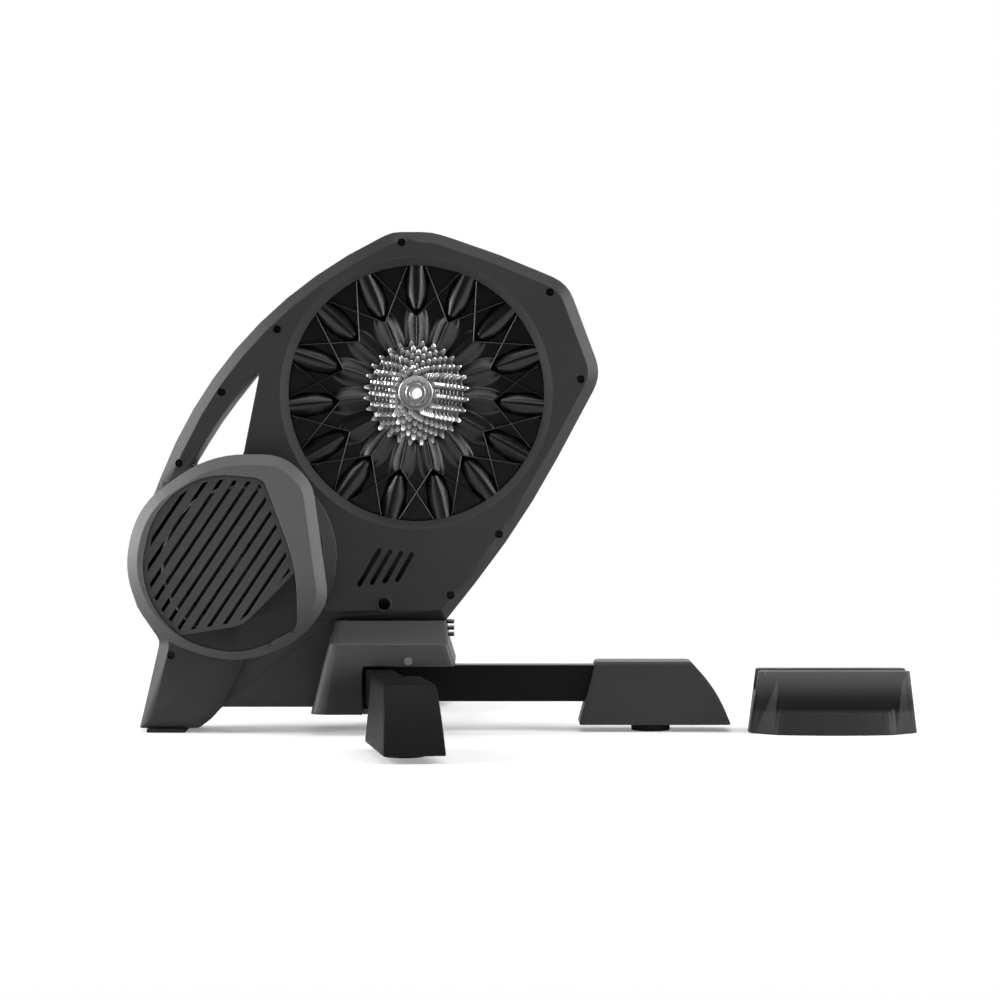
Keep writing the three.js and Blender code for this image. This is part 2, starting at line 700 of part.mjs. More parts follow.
// Large pulley: a rim for the belt, a hub on the bearings, and a web with fifteen pointed petals round the
// hub and a long leaf outside the tip of each. Both swell towards the drive side.
const sector = (Math.PI * 2) / petalCount;
const petalStart = pulleyRadius * petalStartShare;
const petalWidest = pulleyRadius * petalWidestShare;
const knotRadius = pulleyRadius * knotShare;
const leafStart = pulleyRadius * leafStartShare;
const leafTaper = pulleyRadius * leafTaperShare;
const leafHalfWidth = pulleyRadius * leafHalfWidthShare;
function reliefHeight(radius, angle) {
  const local = angle - Math.round(angle / sector) * sector;
  const across = Math.abs(radius * Math.sin(local));
  const along = radius * Math.cos(local);
  if (along > leafStart) {
    const half = leafHalfWidth * Math.sqrt(Math.min(1, (along - leafStart) / leafTaper));
    return leafHeight * Math.sqrt(Math.max(0, 1 - (across / half) ** 2));
  }
  if (along < petalStart || along >= knotRadius) {
    return 0;
  }
  const widest = petalWidest * Math.tan(sector / 2);
  const half = along < petalWidest ? along * Math.tan(sector / 2)
    : (widest * (knotRadius - along)) / (knotRadius - petalWidest);
  return petalHeight * Math.max(0, 1 - across / half);
}
function pulleyWebSolid() {
  const angles = petalCount * pulleyAngleSteps;
  const middle = reliefRadiusShares.map((share) => share * pulleyRadius);
  const circles = [pulleyHubRadius - pulleyWeb, ...middle, pulleyRadius - pulleyRimWall / 2];
  const radii = circles.length - 1;
  const front = [];
  const back = [];
  circles.forEach((radius, r) => {
    for (let a = 0; a < angles; a += 1) {
      const angle = (a / angles) * Math.PI * 2;
      const height = r === 0 || r === radii ? 0 : reliefHeight(radius, angle);
      const [x, z] = [radius * Math.sin(angle), hubZ + radius * Math.cos(angle)];
      front.push([x, pulleyFront + pulleyWeb / 2 - height, z]);
      if (r === 0 || r === radii) {
        back.push([x, pulleyFront + pulleyWeb * 1.5, z]);
      }
    }
  });
  const triangles = [];
  const total = front.length;
  for (let r = 0; r < radii; r += 1) {
    for (let a = 0; a < angles; a += 1) {
      const b = (a + 1) % angles;
      const [p, q, s, t] = [r * angles + a, r * angles + b, (r + 1) * angles + b, (r + 1) * angles + a];
      triangles.push(p, q, s, p, s, t);
    }
  }
  for (let a = 0; a < angles; a += 1) {
    const b = (a + 1) % angles;
    const rim = radii * angles;
    const far = total + angles;
    triangles.push(total + a, far + b, total + b, total + a, far + a, far + b);
    triangles.push(a, total + a, total + b, a, total + b, b);
    triangles.push(rim + a, rim + b, far + b, rim + a, far + b, far + a);
  }
  return closed([...front, ...back].flat(), triangles);
}
const hubProfile = [
  [bearingRadius + fit, pulleyFront - pulleyWeb], [pulleyHubRadius, pulleyFront - pulleyWeb],
  [pulleyHubRadius, pulleyBack], [bearingRadius + fit, pulleyBack],
  [bearingRadius + fit, pulleyFront - pulleyWeb],
];
const pulley = pulleyWebSolid()
  .add(turned(hubProfile, 0, hubZ, smallTurnSteps))
  .add(ring(pulleyRadius - pulleyRimWall, pulleyRadius, pulleyFront, pulleyBack, 0, hubZ, rimSteps));
add('drive_pulley', pulley, pulleyBlack);

// Freehub and cassette
const cassetteBack = pulleyFront - pulleyWeb - fit - freehubEdge;
const cassetteLength = sprocketPitch * sprocketTeeth.length;
const freehubNear = cassetteBack - cassetteLength - fit * 2;
add('freehub_body', turned([
  [bearingRadius + fit, freehubNear], [freehubRadius, freehubNear], [freehubRadius, cassetteBack - fit],
  [pulleyHubRadius, cassetteBack - fit], [pulleyHubRadius, pulleyFront - pulleyWeb - fit],
  [bearingRadius + fit, pulleyFront - pulleyWeb - fit], [bearingRadius + fit, freehubNear],
], 0, hubZ, smallTurnSteps), aluminium);
add('freehub_bearing', bearing(freehubNear + fit, 0, hubZ, axleRadius + fit, bearingRadius), steel);

function sprocket(teeth, y) {
  const pitchRadius = chainPitch / (2 * Math.sin(Math.PI / teeth));
  const root = pitchRadius - toothBelowPitch;
  const tip = pitchRadius + toothAbovePitch;
  const toothShares = [[-0.09, tip], [0.09, tip], [0.31, root], [0.69, root]];
  const points = [];
  for (let i = 0; i < teeth; i += 1) {
    for (const [share, radius] of toothShares) {
      const angle = ((i + share) / teeth) * Math.PI * 2;
      points.push(new THREE.Vector2(radius * Math.sin(angle), hubZ + radius * Math.cos(angle)));
    }
  }
  return plate(points, y - sprocketThickness, y)
    .subtract(disc(freehubRadius + fit, y - sprocketPitch - overrun, y + overrun, 0, hubZ, smallTurnSteps));
}
sprocketTeeth.forEach((teeth, i) => {
  const y = cassetteBack - fit - fit - i * sprocketPitch;
  add(`sprocket_${teeth}`, sprocket(teeth, y), steel);
});
const lockringBack = cassetteBack - fit - fit - cassetteLength;
add('lockring', ring(bearingRadius, lockringRadius, lockringBack - lockringThickness, lockringBack, 0, hubZ),
  steel);

// Belt: one loop round both pulleys, drawn from the tangent angle.
const axisGap = Math.hypot(flywheelX, hubZ - flywheelZ);
const towardHub = Math.atan2(hubZ - flywheelZ, -flywheelX);
const wrap = Math.acos((pulleyRadius - smallPulleyRadius) / axisGap);
function beltLoop(grow) {
  const points = [];
  const arc = (x, z, radius, from, to, steps) => {
    for (let i = 0; i <= steps; i += 1) {
      const angle = from + ((to - from) * i) / steps;
      points.push(new THREE.Vector2(x + (radius + grow) * Math.cos(angle),
        z + (radius + grow) * Math.sin(angle)));
    }
  };
  const back = towardHub + Math.PI;
  arc(0, hubZ, pulleyRadius, back + wrap - Math.PI * 2, back - wrap, smoothSteps);
  arc(flywheelX, flywheelZ, smallPulleyRadius, back - wrap, back + wrap, holeSteps);
  return points;
}
const belt = plate(beltLoop(beltThickness), beltMiddle - beltWidth / 2, beltMiddle + beltWidth / 2)
  .subtract(plate(beltLoop(fit), beltMiddle - beltWidth, beltMiddle + beltWidth));
add('drive_belt', belt, rubber);

// Idler: a plain wheel on an arm, resting on the outside of the belt's lower run.
const runAngle = towardHub - (Math.PI / 2 - wrap);
const runNormal = new THREE.Vector2(Math.sin(runAngle), -Math.cos(runAngle));
const idlerDistance = smallPulleyRadius + beltThickness + idlerRadius + fit;
const idlerAlong = axisGap * idlerAlongShare;
const idlerX = flywheelX + runNormal.x * idlerDistance + Math.cos(runAngle) * idlerAlong;
const idlerZ = flywheelZ + runNormal.y * idlerDistance + Math.sin(runAngle) * idlerAlong;
add('idler_pulley', ring(idlerAxleRadius + fit, idlerRadius, beltMiddle - beltWidth / 2,
  beltMiddle + beltWidth / 2, idlerX, idlerZ), steel);
const armX = idlerX + idlerArmWidth;
const armZ = idlerZ - idlerArmDrop;
const armHalf = idlerArmWidth / 2;
const idlerArm = plate(rounded([
  [idlerX - armHalf, idlerZ + armHalf, armHalf / 2], [idlerX - armHalf, armZ - armHalf, armHalf / 2],
  [armX + armHalf, armZ - armHalf, armHalf / 2], [idlerX + armHalf, idlerZ + armHalf, armHalf / 2],
]), frameNear - fit - idlerArmThickness, frameNear - fit)
  .add(disc(idlerAxleRadius, beltMiddle - beltWidth / 2, frameNear - fit - idlerArmThickness / 2, idlerX,
    idlerZ, smallTurnSteps));
add('idler_arm', idlerArm, darkSteel);

// Flywheel, its axle, small pulley and bearings
const flywheelBack = nearFace - flywheelGap;
const flywheelFront = flywheelBack - flywheelThickness;
const flywheelMiddle = (flywheelBack + flywheelFront) / 2;
const webFront = flywheelMiddle - flywheelWeb / 2;
const webBack = flywheelMiddle + flywheelWeb / 2;
const flywheelBore = flywheelAxleRadius + fit;
const rimInner = flywheelRadius - flywheelRim;
add('flywheel', turned([
  [flywheelBore, flywheelFront], [flywheelHubRadius, flywheelFront], [flywheelHubRadius, webFront],
  [rimInner, webFront], [rimInner, flywheelFront], [flywheelRadius, flywheelFront],
  [flywheelRadius, flywheelBack], [rimInner, flywheelBack], [rimInner, webBack],
  [flywheelHubRadius, webBack], [flywheelHubRadius, flywheelBack],
  [flywheelBore, flywheelBack], [flywheelBore, flywheelFront],
], flywheelX, flywheelZ, smoothSteps), steel);
add('flywheel_axle', disc(flywheelAxleRadius, flywheelFront - fit, bossFar, flywheelX, flywheelZ,
  smallTurnSteps), darkSteel);
add('flywheel_pulley', ring(flywheelBore, smallPulleyRadius, pulleyFront, pulleyBack, flywheelX, flywheelZ),
  aluminium);
const flywheelBearing = (y) => ring(flywheelBore, flywheelBearingRadius, y, y + bearingWidth, flywheelX,
  flywheelZ, smallTurnSteps);
add('flywheel_bearing_near', flywheelBearing(frameNear), steel);
add('flywheel_bearing_far', flywheelBearing(bossFar - bearingWidth), steel);

// Brake: a curved yoke behind the flywheel's lower left, with coils on it.
const yokeOuter = flywheelRadius - fit;
const yokeInner = yokeOuter - brakeWidth;
const yokeFar = flywheelBack + coilGap + coilHeight + brakeThickness;
function arcPlate(inner, outer, from, to, y0, y1, steps) {
  const points = [];
  for (let i = 0; i <= steps; i += 1) {
    const angle = from + ((to - from) * i) / steps;
    points.push(new THREE.Vector2(flywheelX + outer * Math.cos(angle), flywheelZ + outer * Math.sin(angle)));
  }
  for (let i = steps; i >= 0; i -= 1) {
    const angle = from + ((to - from) * i) / steps;
    points.push(new THREE.Vector2(flywheelX + inner * Math.cos(angle), flywheelZ + inner * Math.sin(angle)));
  }
  return plate(points, y0, y1);
}
let yoke = arcPlate(yokeInner, yokeOuter, yokeFrom, yokeTo, yokeFar - brakeThickness, yokeFar,
  smallTurnSteps);
const coilAt = (i) => yokeFrom + ((yokeTo - yokeFrom) * (i + 0.5)) / coilCount;
const coilRadius = (yokeInner + yokeOuter) / 2;
const coilFront = yokeFar - brakeThickness - coilHeight;
const coilBlock = (i, length, width, y0, y1) => {
  const block = box(-length / 2, length / 2, y0, y1, -width / 2, width / 2);
  const angle = coilAt(i);
  return block.rotate([0, -((angle - Math.PI / 2) * 180) / Math.PI, 0])
    .translate([flywheelX + coilRadius * Math.cos(angle), 0, flywheelZ + coilRadius * Math.sin(angle)]);
};
for (let i = 0; i < coilCount; i += 1) {
  const core = coilBlock(i, coilLength * coreShare, coilWidth * coreShare, coilFront,
    yokeFar - brakeThickness / 2);
  yoke = yoke.add(core);
  const hole = coilBlock(i, coilLength * coreShare + fit * 2, coilWidth * coreShare + fit * 2,
    coilFront - overrun, yokeFar);
  add(`brake_coil_${i + 1}`, coilBlock(i, coilLength, coilWidth, coilFront + fit,
    yokeFar - brakeThickness - fit)
    .subtract(hole), copper);
}
for (let i = 0; i < coilCount; i += 1) {
  const angle = coilAt(i);
  const [x, z] = [flywheelX + coilRadius * Math.cos(angle), flywheelZ + coilRadius * Math.sin(angle)];
  yoke = yoke.add(disc(brakeThickness, yokeFar - brakeThickness / 2, frameNear - fit, x, z, holeSteps));
}
add('brake_yoke', yoke, darkSteel);

// Circuit board on the far side of the frame
const boardBottom = baseTop + boardClearance;
add('circuit_board', box(legPivotX - boardWidth / 2, legPivotX + boardWidth / 2, frameFar + fit,
  frameFar + fit + boardThickness, boardBottom, boardBottom + boardHeight), boardGreen);

// Base: a cover in two halves over an upper and a lower steel plate, between which the legs are held.
const farForward = frontLegReach;
const finTop = baseTop - fit - baseWall / 2;
const finPitch = (finTop - upperPlateTop - fit) * finPitchShare;
const finsBottom = finTop - finPitch * (finCount - 1) - finThickness;
const frontEdge = baseLevels[3].front;
let base = baseSolid(0).subtract(baseSolid(baseWall, -baseWall));
base = base.subtract(box(recessBack - baseWall, farForward, -baseHalfWidth * 2, baseHalfWidth * 2, 0,
  baseRecessTop));
for (const side of [-1, 1]) {
  const wall = box(recessBack - baseWall, recessBack, side > 0 ? legPivotY - legBeamWidth : -baseHalfWidth,
    side > 0 ? baseHalfWidth : -legPivotY + legBeamWidth, baseBottom, upperPlateBottom - fit);
  base = base.add(wall.intersect(baseSolid(0)));
}
base = base.subtract(box(baseLevels[3].back + baseLedge, frontEdge - baseLedge,
  -casingHalfWidth + plateMargin, casingHalfWidth - plateMargin,
  baseTop - baseWall * 2, baseTop + overrun));
base = base.subtract(box(frontEdge - baseLedge - fit, farForward, -finWidth / 2 - fit, finWidth / 2 + fit,
  finsBottom - fit, baseTop + overrun));
const plateBack = baseLevels[1].back + plateMargin + baseWall;
const plateFront = baseLevels[2].front - baseWall - plateMargin;
const plateHalf = baseHalfWidth - baseWall - fit;
const boltZ = (upperPlateBottom + upperPlateTop) / 2;
const boltX = recessBack + casingHeight * baseBoltShare;
const boltSeat = -baseHalfWidth - fit;
const sideBolt = (radius, headRadius) => disc(
  radius, boltSeat, -baseHalfWidth + baseBoltLength, boltX, boltZ, smallTurnSteps,
).add(disc(headRadius, boltSeat - baseBoltHead, boltSeat, boltX, boltZ, hexSides));
const boltHole = disc(baseBoltRadius / 2 + fit, -baseHalfWidth - overrun,
  -baseHalfWidth + baseBoltLength + fit, boltX, boltZ, smallTurnSteps);
base = base.subtract(boltHole);
const halfSpace = (side) => box(-casingHeight, casingHeight, side > 0 ? fit / 2 : -casingHeight,
  side > 0 ? casingHeight : -fit / 2, -overrun, casingHeight);
add('base_cover_near', base.intersect(halfSpace(-1)), casingGrey);
add('base_cover_far', base.intersect(halfSpace(1)), casingGrey);
add('base_bolt', sideBolt(baseBoltRadius / 2, baseBoltRadius), steel);

const pivotHole = (side) => post(pivotRadius + fit, 0, casingHeight, legPivotX, side * legPivotY);
const upperPlate = box(plateBack, plateFront, -plateHalf, plateHalf, upperPlateBottom, upperPlateTop)
  .intersect(baseSolid(baseWall + fit, -baseWall)).subtract(boltHole).subtract(pivotHole(-1))
  .subtract(pivotHole(1));
add('base_plate_upper', upperPlate, darkSteel);
const lowerPlate = box(plateBack, recessBack + legBeamWidth + pivotBushRadius, -plateHalf, plateHalf,
  lowerPlateBottom, lowerPlateTop)
  .subtract(box(recessBack - baseWall - fit, recessBack + fit, legPivotY - legBeamWidth - fit, baseHalfWidth,
    0, baseTop))
  .subtract(box(recessBack - baseWall - fit, recessBack + fit, -baseHalfWidth,
    -legPivotY + legBeamWidth + fit, 0, baseTop))
  .subtract(pivotHole(-1)).subtract(pivotHole(1));
add('base_plate_lower', lowerPlate, darkSteel);

// Heat sink fins at the base's front edge
const sinkBack = frontEdge - baseLedge;
let sink = box(sinkBack - plateMargin, sinkBack + plateMargin, -finWidth / 2, finWidth / 2,
  upperPlateTop + fit, finTop);
for (let i = 0; i < finCount; i += 1) {
  const top = finTop - i * finPitch;
  sink = sink.add(box(sinkBack, frontEdge + finReach, -finWidth / 2, finWidth / 2, top - finThickness, top));
}
add('heat_sink', sink, aluminium);

// Legs: a steel tube with a moulded cap on its end and a screw foot under the cap.
function legBeam(reach, back, pivoted) {
  const half = legBeamWidth / 2;
  const end = reach - capTopStart - capNoseWall;
  const corners = [[back, -half, pivoted ? half * roundEndShare : 0], [end, -half, 0], [end, half, 0],
    [back, half, pivoted ? half * roundEndShare : 0]];
  const outer = rounded(corners);
  const inner = box(back + legBeamWidth, end + overrun, -half + legBeamWall, half - legBeamWall,
    legBeamBottom + legBeamWall, legTop - legBeamWall);
  const tube = pile([outer, legBeamBottom], [outer, legTop]).subtract(inner);
  if (!pivoted) {
    return tube.add(box(back, recessBack + legBeamWidth, -half, half, legTop - legBeamWall,
      upperPlateBottom - fit));
  }
  return tube.add(post(pivotBushRadius, lowerPlateTop + fit, upperPlateBottom - fit, 0, 0, turnSteps))
    .subtract(post(pivotRadius + fit, 0, baseTop, 0, 0, turnSteps));
}
function legCap(reach) {
  const capFrontZ = capBottom + (capTop - capBottom) * capFrontShares[1];
  const side = rounded([
    [reach, capBottom, capEdge], [reach - capTopStart * capFrontShares[0], capFrontZ, capNose, capNoseSteps],
    [reach - capTopStart, capTop, capTopEdge], [reach - capTopEnd, capTop, capTopEdge],
    [reach - capLength, capBottom, capEdge],
  ]);
  const across = rounded([
    [-capBottomHalfWidth, capBottom, capEdge], [capBottomHalfWidth, capBottom, capEdge],
    [capTopHalfWidth, capTop, capCorner], [-capTopHalfWidth, capTop, capCorner],
  ]);
  const prism = plate(side, -capBottomHalfWidth * 2, capBottomHalfWidth * 2);
  const bar = loft([0, reach + overrun].map((x) => across.map((p) => new THREE.Vector3(x, p.x, p.y))));
  const half = legBeamWidth / 2 + fit;
  return prism.intersect(bar)
    .subtract(box(0, reach - capTopStart - capNoseWall + fit, -half, half, legBeamBottom - fit, legTop + fit))
    .subtract(post(studRadius + fit, 0, legBeamBottom, reach - footInset, 0));
}
function legFoot(reach) {
  return post(footRadius, 0, footHeight, reach - footInset, 0, turnSteps)
    .add(post(studRadius, footHeight / 2, footHeight + studLength, reach - footInset, 0));
}
function placeLeg(name, reach, back, turn, x, y, pivoted) {
  const put = (manifold) => manifold.rotate([0, 0, turn]).translate([x, y, 0]);
  add(`${name}_leg_beam`, put(legBeam(reach, back, pivoted)), beamBlack);
  add(`${name}_leg_cap`, put(legCap(reach)), capGrey);
  add(`${name}_foot`, put(legFoot(reach)), rubber);
  if (pivoted) {
    add(`${name}_pivot_bolt`, post(pivotRadius, lowerPlateBottom - fit, upperPlateTop + fit, x, y, turnSteps)
      .add(post(pivotHeadRadius, lowerPlateBottom - fit - pivotHeadHeight, lowerPlateBottom - fit, x, y,
        hexSides)), steel);
  }
}
const sideTurn = 90 - legOpenAngle;
placeLeg('front', frontLegReach, plateBack, 0, 0, 0, false);
placeLeg('near', legReach, -legBeamWidth / 2, -sideTurn, legPivotX, -legPivotY, true);
placeLeg('far', legReach, -legBeamWidth / 2, sideTurn, legPivotX, legPivotY, true);

// Rubber pad under the rear foot
const [rearFootX, rearFootZ] = sized([rearFootShares], casingHeight)[0];
add('rear_pad', box(rearFootX - rearPadLength / 2, rearFootX + rearPadLength / 2,
  -casingHalfWidth + plateMargin, casingHalfWidth - plateMargin, 0, rearFootZ - fit), rubber);

// Riser block for the front wheel, standing loose in front. Its front and back are panels sunk behind a
// skirt that sweeps up to the top at both ends.
const riserX = frontLegReach + riserGap + riserLength / 2;
const riserRing = (length, depth, bow, flank, distance = 0) => {
  const ends = [riserX - length / 2, riserX + length / 2];
  const shoulder = (riserLength - riserFlatLength) / 2;
  const corner = (x, y) => [x, y, riserCorner, riserCornerSteps];
  return rounded([
    corner(ends[0], riserY - flank / 2), corner(ends[0] + shoulder, riserY - depth / 2 + bow),
    [riserX, riserY - depth / 2, riserFlatLength * riserBowReachShare, riserBowSteps],
    corner(ends[1] - shoulder, riserY - depth / 2 + bow), corner(ends[1], riserY - flank / 2),
    corner(ends[1], riserY + flank / 2), corner(ends[1] - shoulder, riserY + depth / 2),
    corner(ends[0] + shoulder, riserY + depth / 2), corner(ends[0], riserY + flank / 2),
  ], distance);
};
const skirtHalf = riserTopLength / 2 - riserPanelDepth;
const panelPlan = (y) => rounded([
  [riserX - riserLength, riserY - riserDepth, 0], [riserX + riserLength, riserY - riserDepth, 0],
  [riserX + riserLength, y, 0], [riserX - riserLength, y, 0],
]);
const panelTopY = riserY - riserTopDepth / 2 + riserPanelTop;
const panelLevels = Array.from({ length: riserPanelSteps + 1 }, (_, i) => {
  const share = i / riserPanelSteps;
  const z = riserPanelBreak + (riserHeight + overrun - riserPanelBreak) * share;
  return [panelPlan(panelTopY - riserPanelLean * (1 - share * share)), z];
});
const panelSpace = pile([panelPlan(panelTopY - riserPanelLean), 0], ...panelLevels);
const panelFace = plate(rounded([
  [riserX - skirtHalf, riserHeight + overrun, 0],
  [riserX - skirtHalf + riserPanelDepth, riserSkirt, riserSkirtEnd],
  [riserX + skirtHalf - riserPanelDepth, riserSkirt, riserSkirtEnd],
  [riserX + skirtHalf, riserHeight + overrun, 0],
]), riserY - riserDepth, riserY).intersect(panelSpace);
const wheelGroove = disc(riserWheelRadius, riserY - riserGrooveWidth / 2, riserY + riserGrooveWidth / 2,
  riserX, riserGrooveFloor + riserWheelRadius, wheelSteps);
const riserPocket = pile(
  [riserRing(riserLength, riserDepth, riserBow, riserFlank, riserWall), -overrun],
  [riserRing(riserLength, riserDepth, riserBow, riserFlank, riserWall * 2), riserPocketHeight],
);
const riser = pile(
  [riserRing(riserLength, riserDepth, riserBow, riserFlank), 0],
  [riserRing(riserTopLength, riserTopDepth, 0, riserTopDepth), riserHeight],
).subtract(panelFace).subtract(wheelGroove).subtract(riserPocket);
add('riser_block', riser, riserBlack);

// The part's origin is under the middle of everything, on the floor.
group.updateMatrixWorld(true);
const bounds = new THREE.Box3().setFromObject(group);
const middle = bounds.getCenter(new THREE.Vector3());
group.position.set(-middle.x, -middle.y, -bounds.min.z);

export default group;
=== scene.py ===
import bmesh
import bpy
import json
import math
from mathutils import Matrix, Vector


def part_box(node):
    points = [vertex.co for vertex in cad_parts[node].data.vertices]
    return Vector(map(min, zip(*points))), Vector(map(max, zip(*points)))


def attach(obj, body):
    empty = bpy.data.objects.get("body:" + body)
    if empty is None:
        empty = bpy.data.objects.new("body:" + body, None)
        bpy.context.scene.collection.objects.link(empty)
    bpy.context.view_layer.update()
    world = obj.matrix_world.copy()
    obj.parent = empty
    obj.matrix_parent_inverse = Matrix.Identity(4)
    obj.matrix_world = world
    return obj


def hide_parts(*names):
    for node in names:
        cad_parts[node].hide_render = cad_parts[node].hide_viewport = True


# A direct drive bike trainer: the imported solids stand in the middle, and each section dresses one
# piece of it. Lengths are in metres. X points forward along the bike, Y away from the drive side
# and Z up.
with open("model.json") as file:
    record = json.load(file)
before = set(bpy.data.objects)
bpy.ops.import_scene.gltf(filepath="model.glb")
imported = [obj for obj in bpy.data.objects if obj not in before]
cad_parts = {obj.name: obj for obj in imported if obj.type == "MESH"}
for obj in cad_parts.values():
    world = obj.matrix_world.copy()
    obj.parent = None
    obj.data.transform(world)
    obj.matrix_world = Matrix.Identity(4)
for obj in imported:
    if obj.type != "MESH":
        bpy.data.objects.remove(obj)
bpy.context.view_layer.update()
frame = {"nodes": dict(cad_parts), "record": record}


# The studio: a pale floor and wall without a visible join, and soft lamps above, high in front, at
# both sides and behind. The air is white to the camera, which stands four metres off the drive side,
# a little above the middle of the casing, as when the photograph was taken.
class Wire:
    """One socket of a material, which can be reckoned with like a number."""

    def __init__(self, coat, socket):
        self.coat = coat
        self.socket = socket

    def math(self, operation, *others):
        return self.coat.node("Math", {"operation": operation}, dict(enumerate((self, *others))))

    def __add__(self, other): return self.math("ADD", other)
    def __radd__(self, other): return self.math("ADD", other)
    def __sub__(self, other): return self.math("SUBTRACT", other)
    def __rsub__(self, other): return self.coat.node("Math", {"operation": "SUBTRACT"}, {0: other, 1: self})
    def __mul__(self, other): return self.math("MULTIPLY", other)
    def __rmul__(self, other): return self.math("MULTIPLY", other)
    def __pow__(self, other): return self.math("POWER", other)

    def between(self, low, high):
        """Rises smoothly from 0 at the low value to 1 at the high one."""
        settings = {"interpolation_type": "SMOOTHSTEP"}
        return self.coat.node("MapRange", settings, {0: self, 1: low, 2: high})


class Finish:
    """A material made of nodes, for one kind of surface."""

    def __init__(self, name, **sockets):
        self.material = bpy.data.materials.new(name)
        self.material.use_nodes = True
        self.tree = self.material.node_tree
        self.surface = self.tree.nodes["Principled BSDF"]
        self.place = self.node("TexCoord", {}, {}, "Object")
        self.set(**sockets)

    def node(self, kind, settings, sockets, output=0):
        """Adds a node, from its type, its settings, and the values or wires of its sockets."""
        made = self.tree.nodes.new("ShaderNode" + kind)
        for name, setting in settings.items():
            setattr(made, name, setting)
        for key, value in sockets.items():
            if isinstance(value, Wire):
                self.tree.links.new(value.socket, made.inputs[key])
            else:
                made.inputs[key].default_value = value
        return Wire(self, made.outputs[output])

    def noise(self, scale, detail=2.0, stretch=None, roughness=0.5):
        """Soft spots from 0 to 1. The larger the scale, the smaller they are."""
        place = self.place
        if stretch:
            place = self.node("Mapping", {}, {"Vector": place, "Scale": stretch})
        sockets = {"Vector": place, "Scale": scale, "Detail": detail, "Roughness": roughness}
        return self.node("TexNoise", {}, sockets)

    def along(self, axis):
        """How far the surface lies along X, Y or Z."""
        return self.node("SeparateXYZ", {}, {0: self.place}, "XYZ".index(axis))

    def reach_from(self, axis):
        """How far the surface lies from an axis along Y."""
        return ((self.along("X") - axis.x) ** 2 + (self.along("Z") - axis.z) ** 2) ** 0.5

    def mix(self, share, one, other):
        """Blends from one colour to the other, by a share from 0 to 1."""
        return self.node("Mix", {"data_type": "RGBA"}, {0: share, 6: (*one, 1), 7: (*other, 1)}, 2)

    def bump(self, height, depth):
        """Raises the surface by a height from 0 to 1 times a depth in metres."""
        self.set(Normal=self.node("Bump", {}, {"Height": height, "Distance": depth, "Strength": 1.0}))

    def set(self, **sockets):
        for name, value in sockets.items():
            key = name.replace("_", " ")
            if isinstance(value, Wire):
                self.tree.links.new(value.socket, self.surface.inputs[key])
            else:
                self.surface.inputs[key].default_value = (*value, 1) if isinstance(value, tuple) else value


def studio_sheet(name, corners, shade):
    """A sheet of white paper, which glows for the camera and for shiny and clear things.

    The shade is the share of that glow which it lacks near the object, so that a shadow shows
    there, and in reflections.
    """
    mesh = bpy.data.meshes.new(name)
    mesh.from_pydata(corners, [], [(0, 1, 2, 3)])
    sheet = bpy.data.objects.new(name, mesh)
    bpy.context.collection.objects.link(sheet)
    paper = Finish(f"{name}_paper", Base_Color=(0.95, 0.95, 0.95), Roughness=0.9)
    straight, glossy, clear = (paper.node("LightPath", {}, {}, f"Is {ray} Ray")
                               for ray in ("Camera", "Glossy", "Transmission"))
    seen = straight.math("MAXIMUM", glossy).math("MAXIMUM", clear)
    away = paper.node("VectorMath", {"operation": "LENGTH"}, {0: paper.place}, 1)
    near = 1 - away.between(0.7, 2.2)
    glow = paper.node("Emission", {}, {"Color": (1, 1, 1, 1), "Strength": 1.0})
    share = seen * (1 - shade * near) * (1 - shade * glossy)
    mixed = paper.node("MixShader", {}, {0: share, 1: Wire(paper, paper.surface.outputs[0]), 2: glow})
    paper.tree.links.new(mixed.socket, paper.tree.nodes["Material Output"].inputs["Surface"])
    mesh.materials.append(paper.material)


studio_sheet("studio_floor", [(-9, -9, 0), (9, -9, 0), (9, 9, 0), (-9, 9, 0)], shade=0.75)
studio_sheet("studio_wall", [(-4, 8.5, -0.1), (4, 8.5, -0.1), (4, 8.5, 5), (-4, 8.5, 5)], shade=0.0)

LAMP_TARGET = Vector((0, 0, 0.3))
for name, place, size, power in (
        ("lamp_above", (0.25, -0.4, 2.4), (2.2, 0.8), 20),
        ("lamp_high", (0.2, -1.9, 2.3), (1.8, 0.35), 13),
        ("lamp_left", (-2.3, -0.25, 1.0), (0.8, 1.8), 82),
        ("lamp_right", (2.2, -0.3, 1.1), (0.7, 1.8), 47),
        ("strip_left", (-2.1, -1.15, 0.8), (0.25, 1.6), 9),
        ("strip_right", (1.9, -1.2, 0.9), (0.3, 1.6), 22),
        ("lamp_back", (0.0, 2.4, 1.9), (2.4, 1.2), 34)):
    lamp = bpy.data.lights.new(name, "AREA")
    lamp.shape = "RECTANGLE"
    lamp.size, lamp.size_y = size
    lamp.energy = power
    holder = bpy.data.objects.new(name, lamp)
    holder.location = place
    holder.rotation_euler = (LAMP_TARGET - Vector(place)).to_track_quat("-Z", "Y").to_euler()
    bpy.context.collection.objects.link(holder)

AIR_LIGHT, AIR_SEEN = 0.11, 0.95
world = bpy.data.worlds.new("studio_air")
bpy.context.scene.world = world
world.use_nodes = True
air = world.node_tree
fill = air.nodes["Background"]
fill.inputs["Color"].default_value = (0.96, 0.98, 1.0, 1)
seen = air.nodes.new("ShaderNodeLightPath")
level = air.nodes.new("ShaderNodeMath")
level.operation = "MULTIPLY_ADD"
level.inputs[1].default_value, level.inputs[2].default_value = AIR_SEEN, AIR_LIGHT
air.links.new(seen.outputs["Is Camera Ray"], level.inputs[0])
air.links.new(level.outputs[0], fill.inputs["Strength"])


def middle_of(node):
    low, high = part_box(node)
    return (low + high) / 2


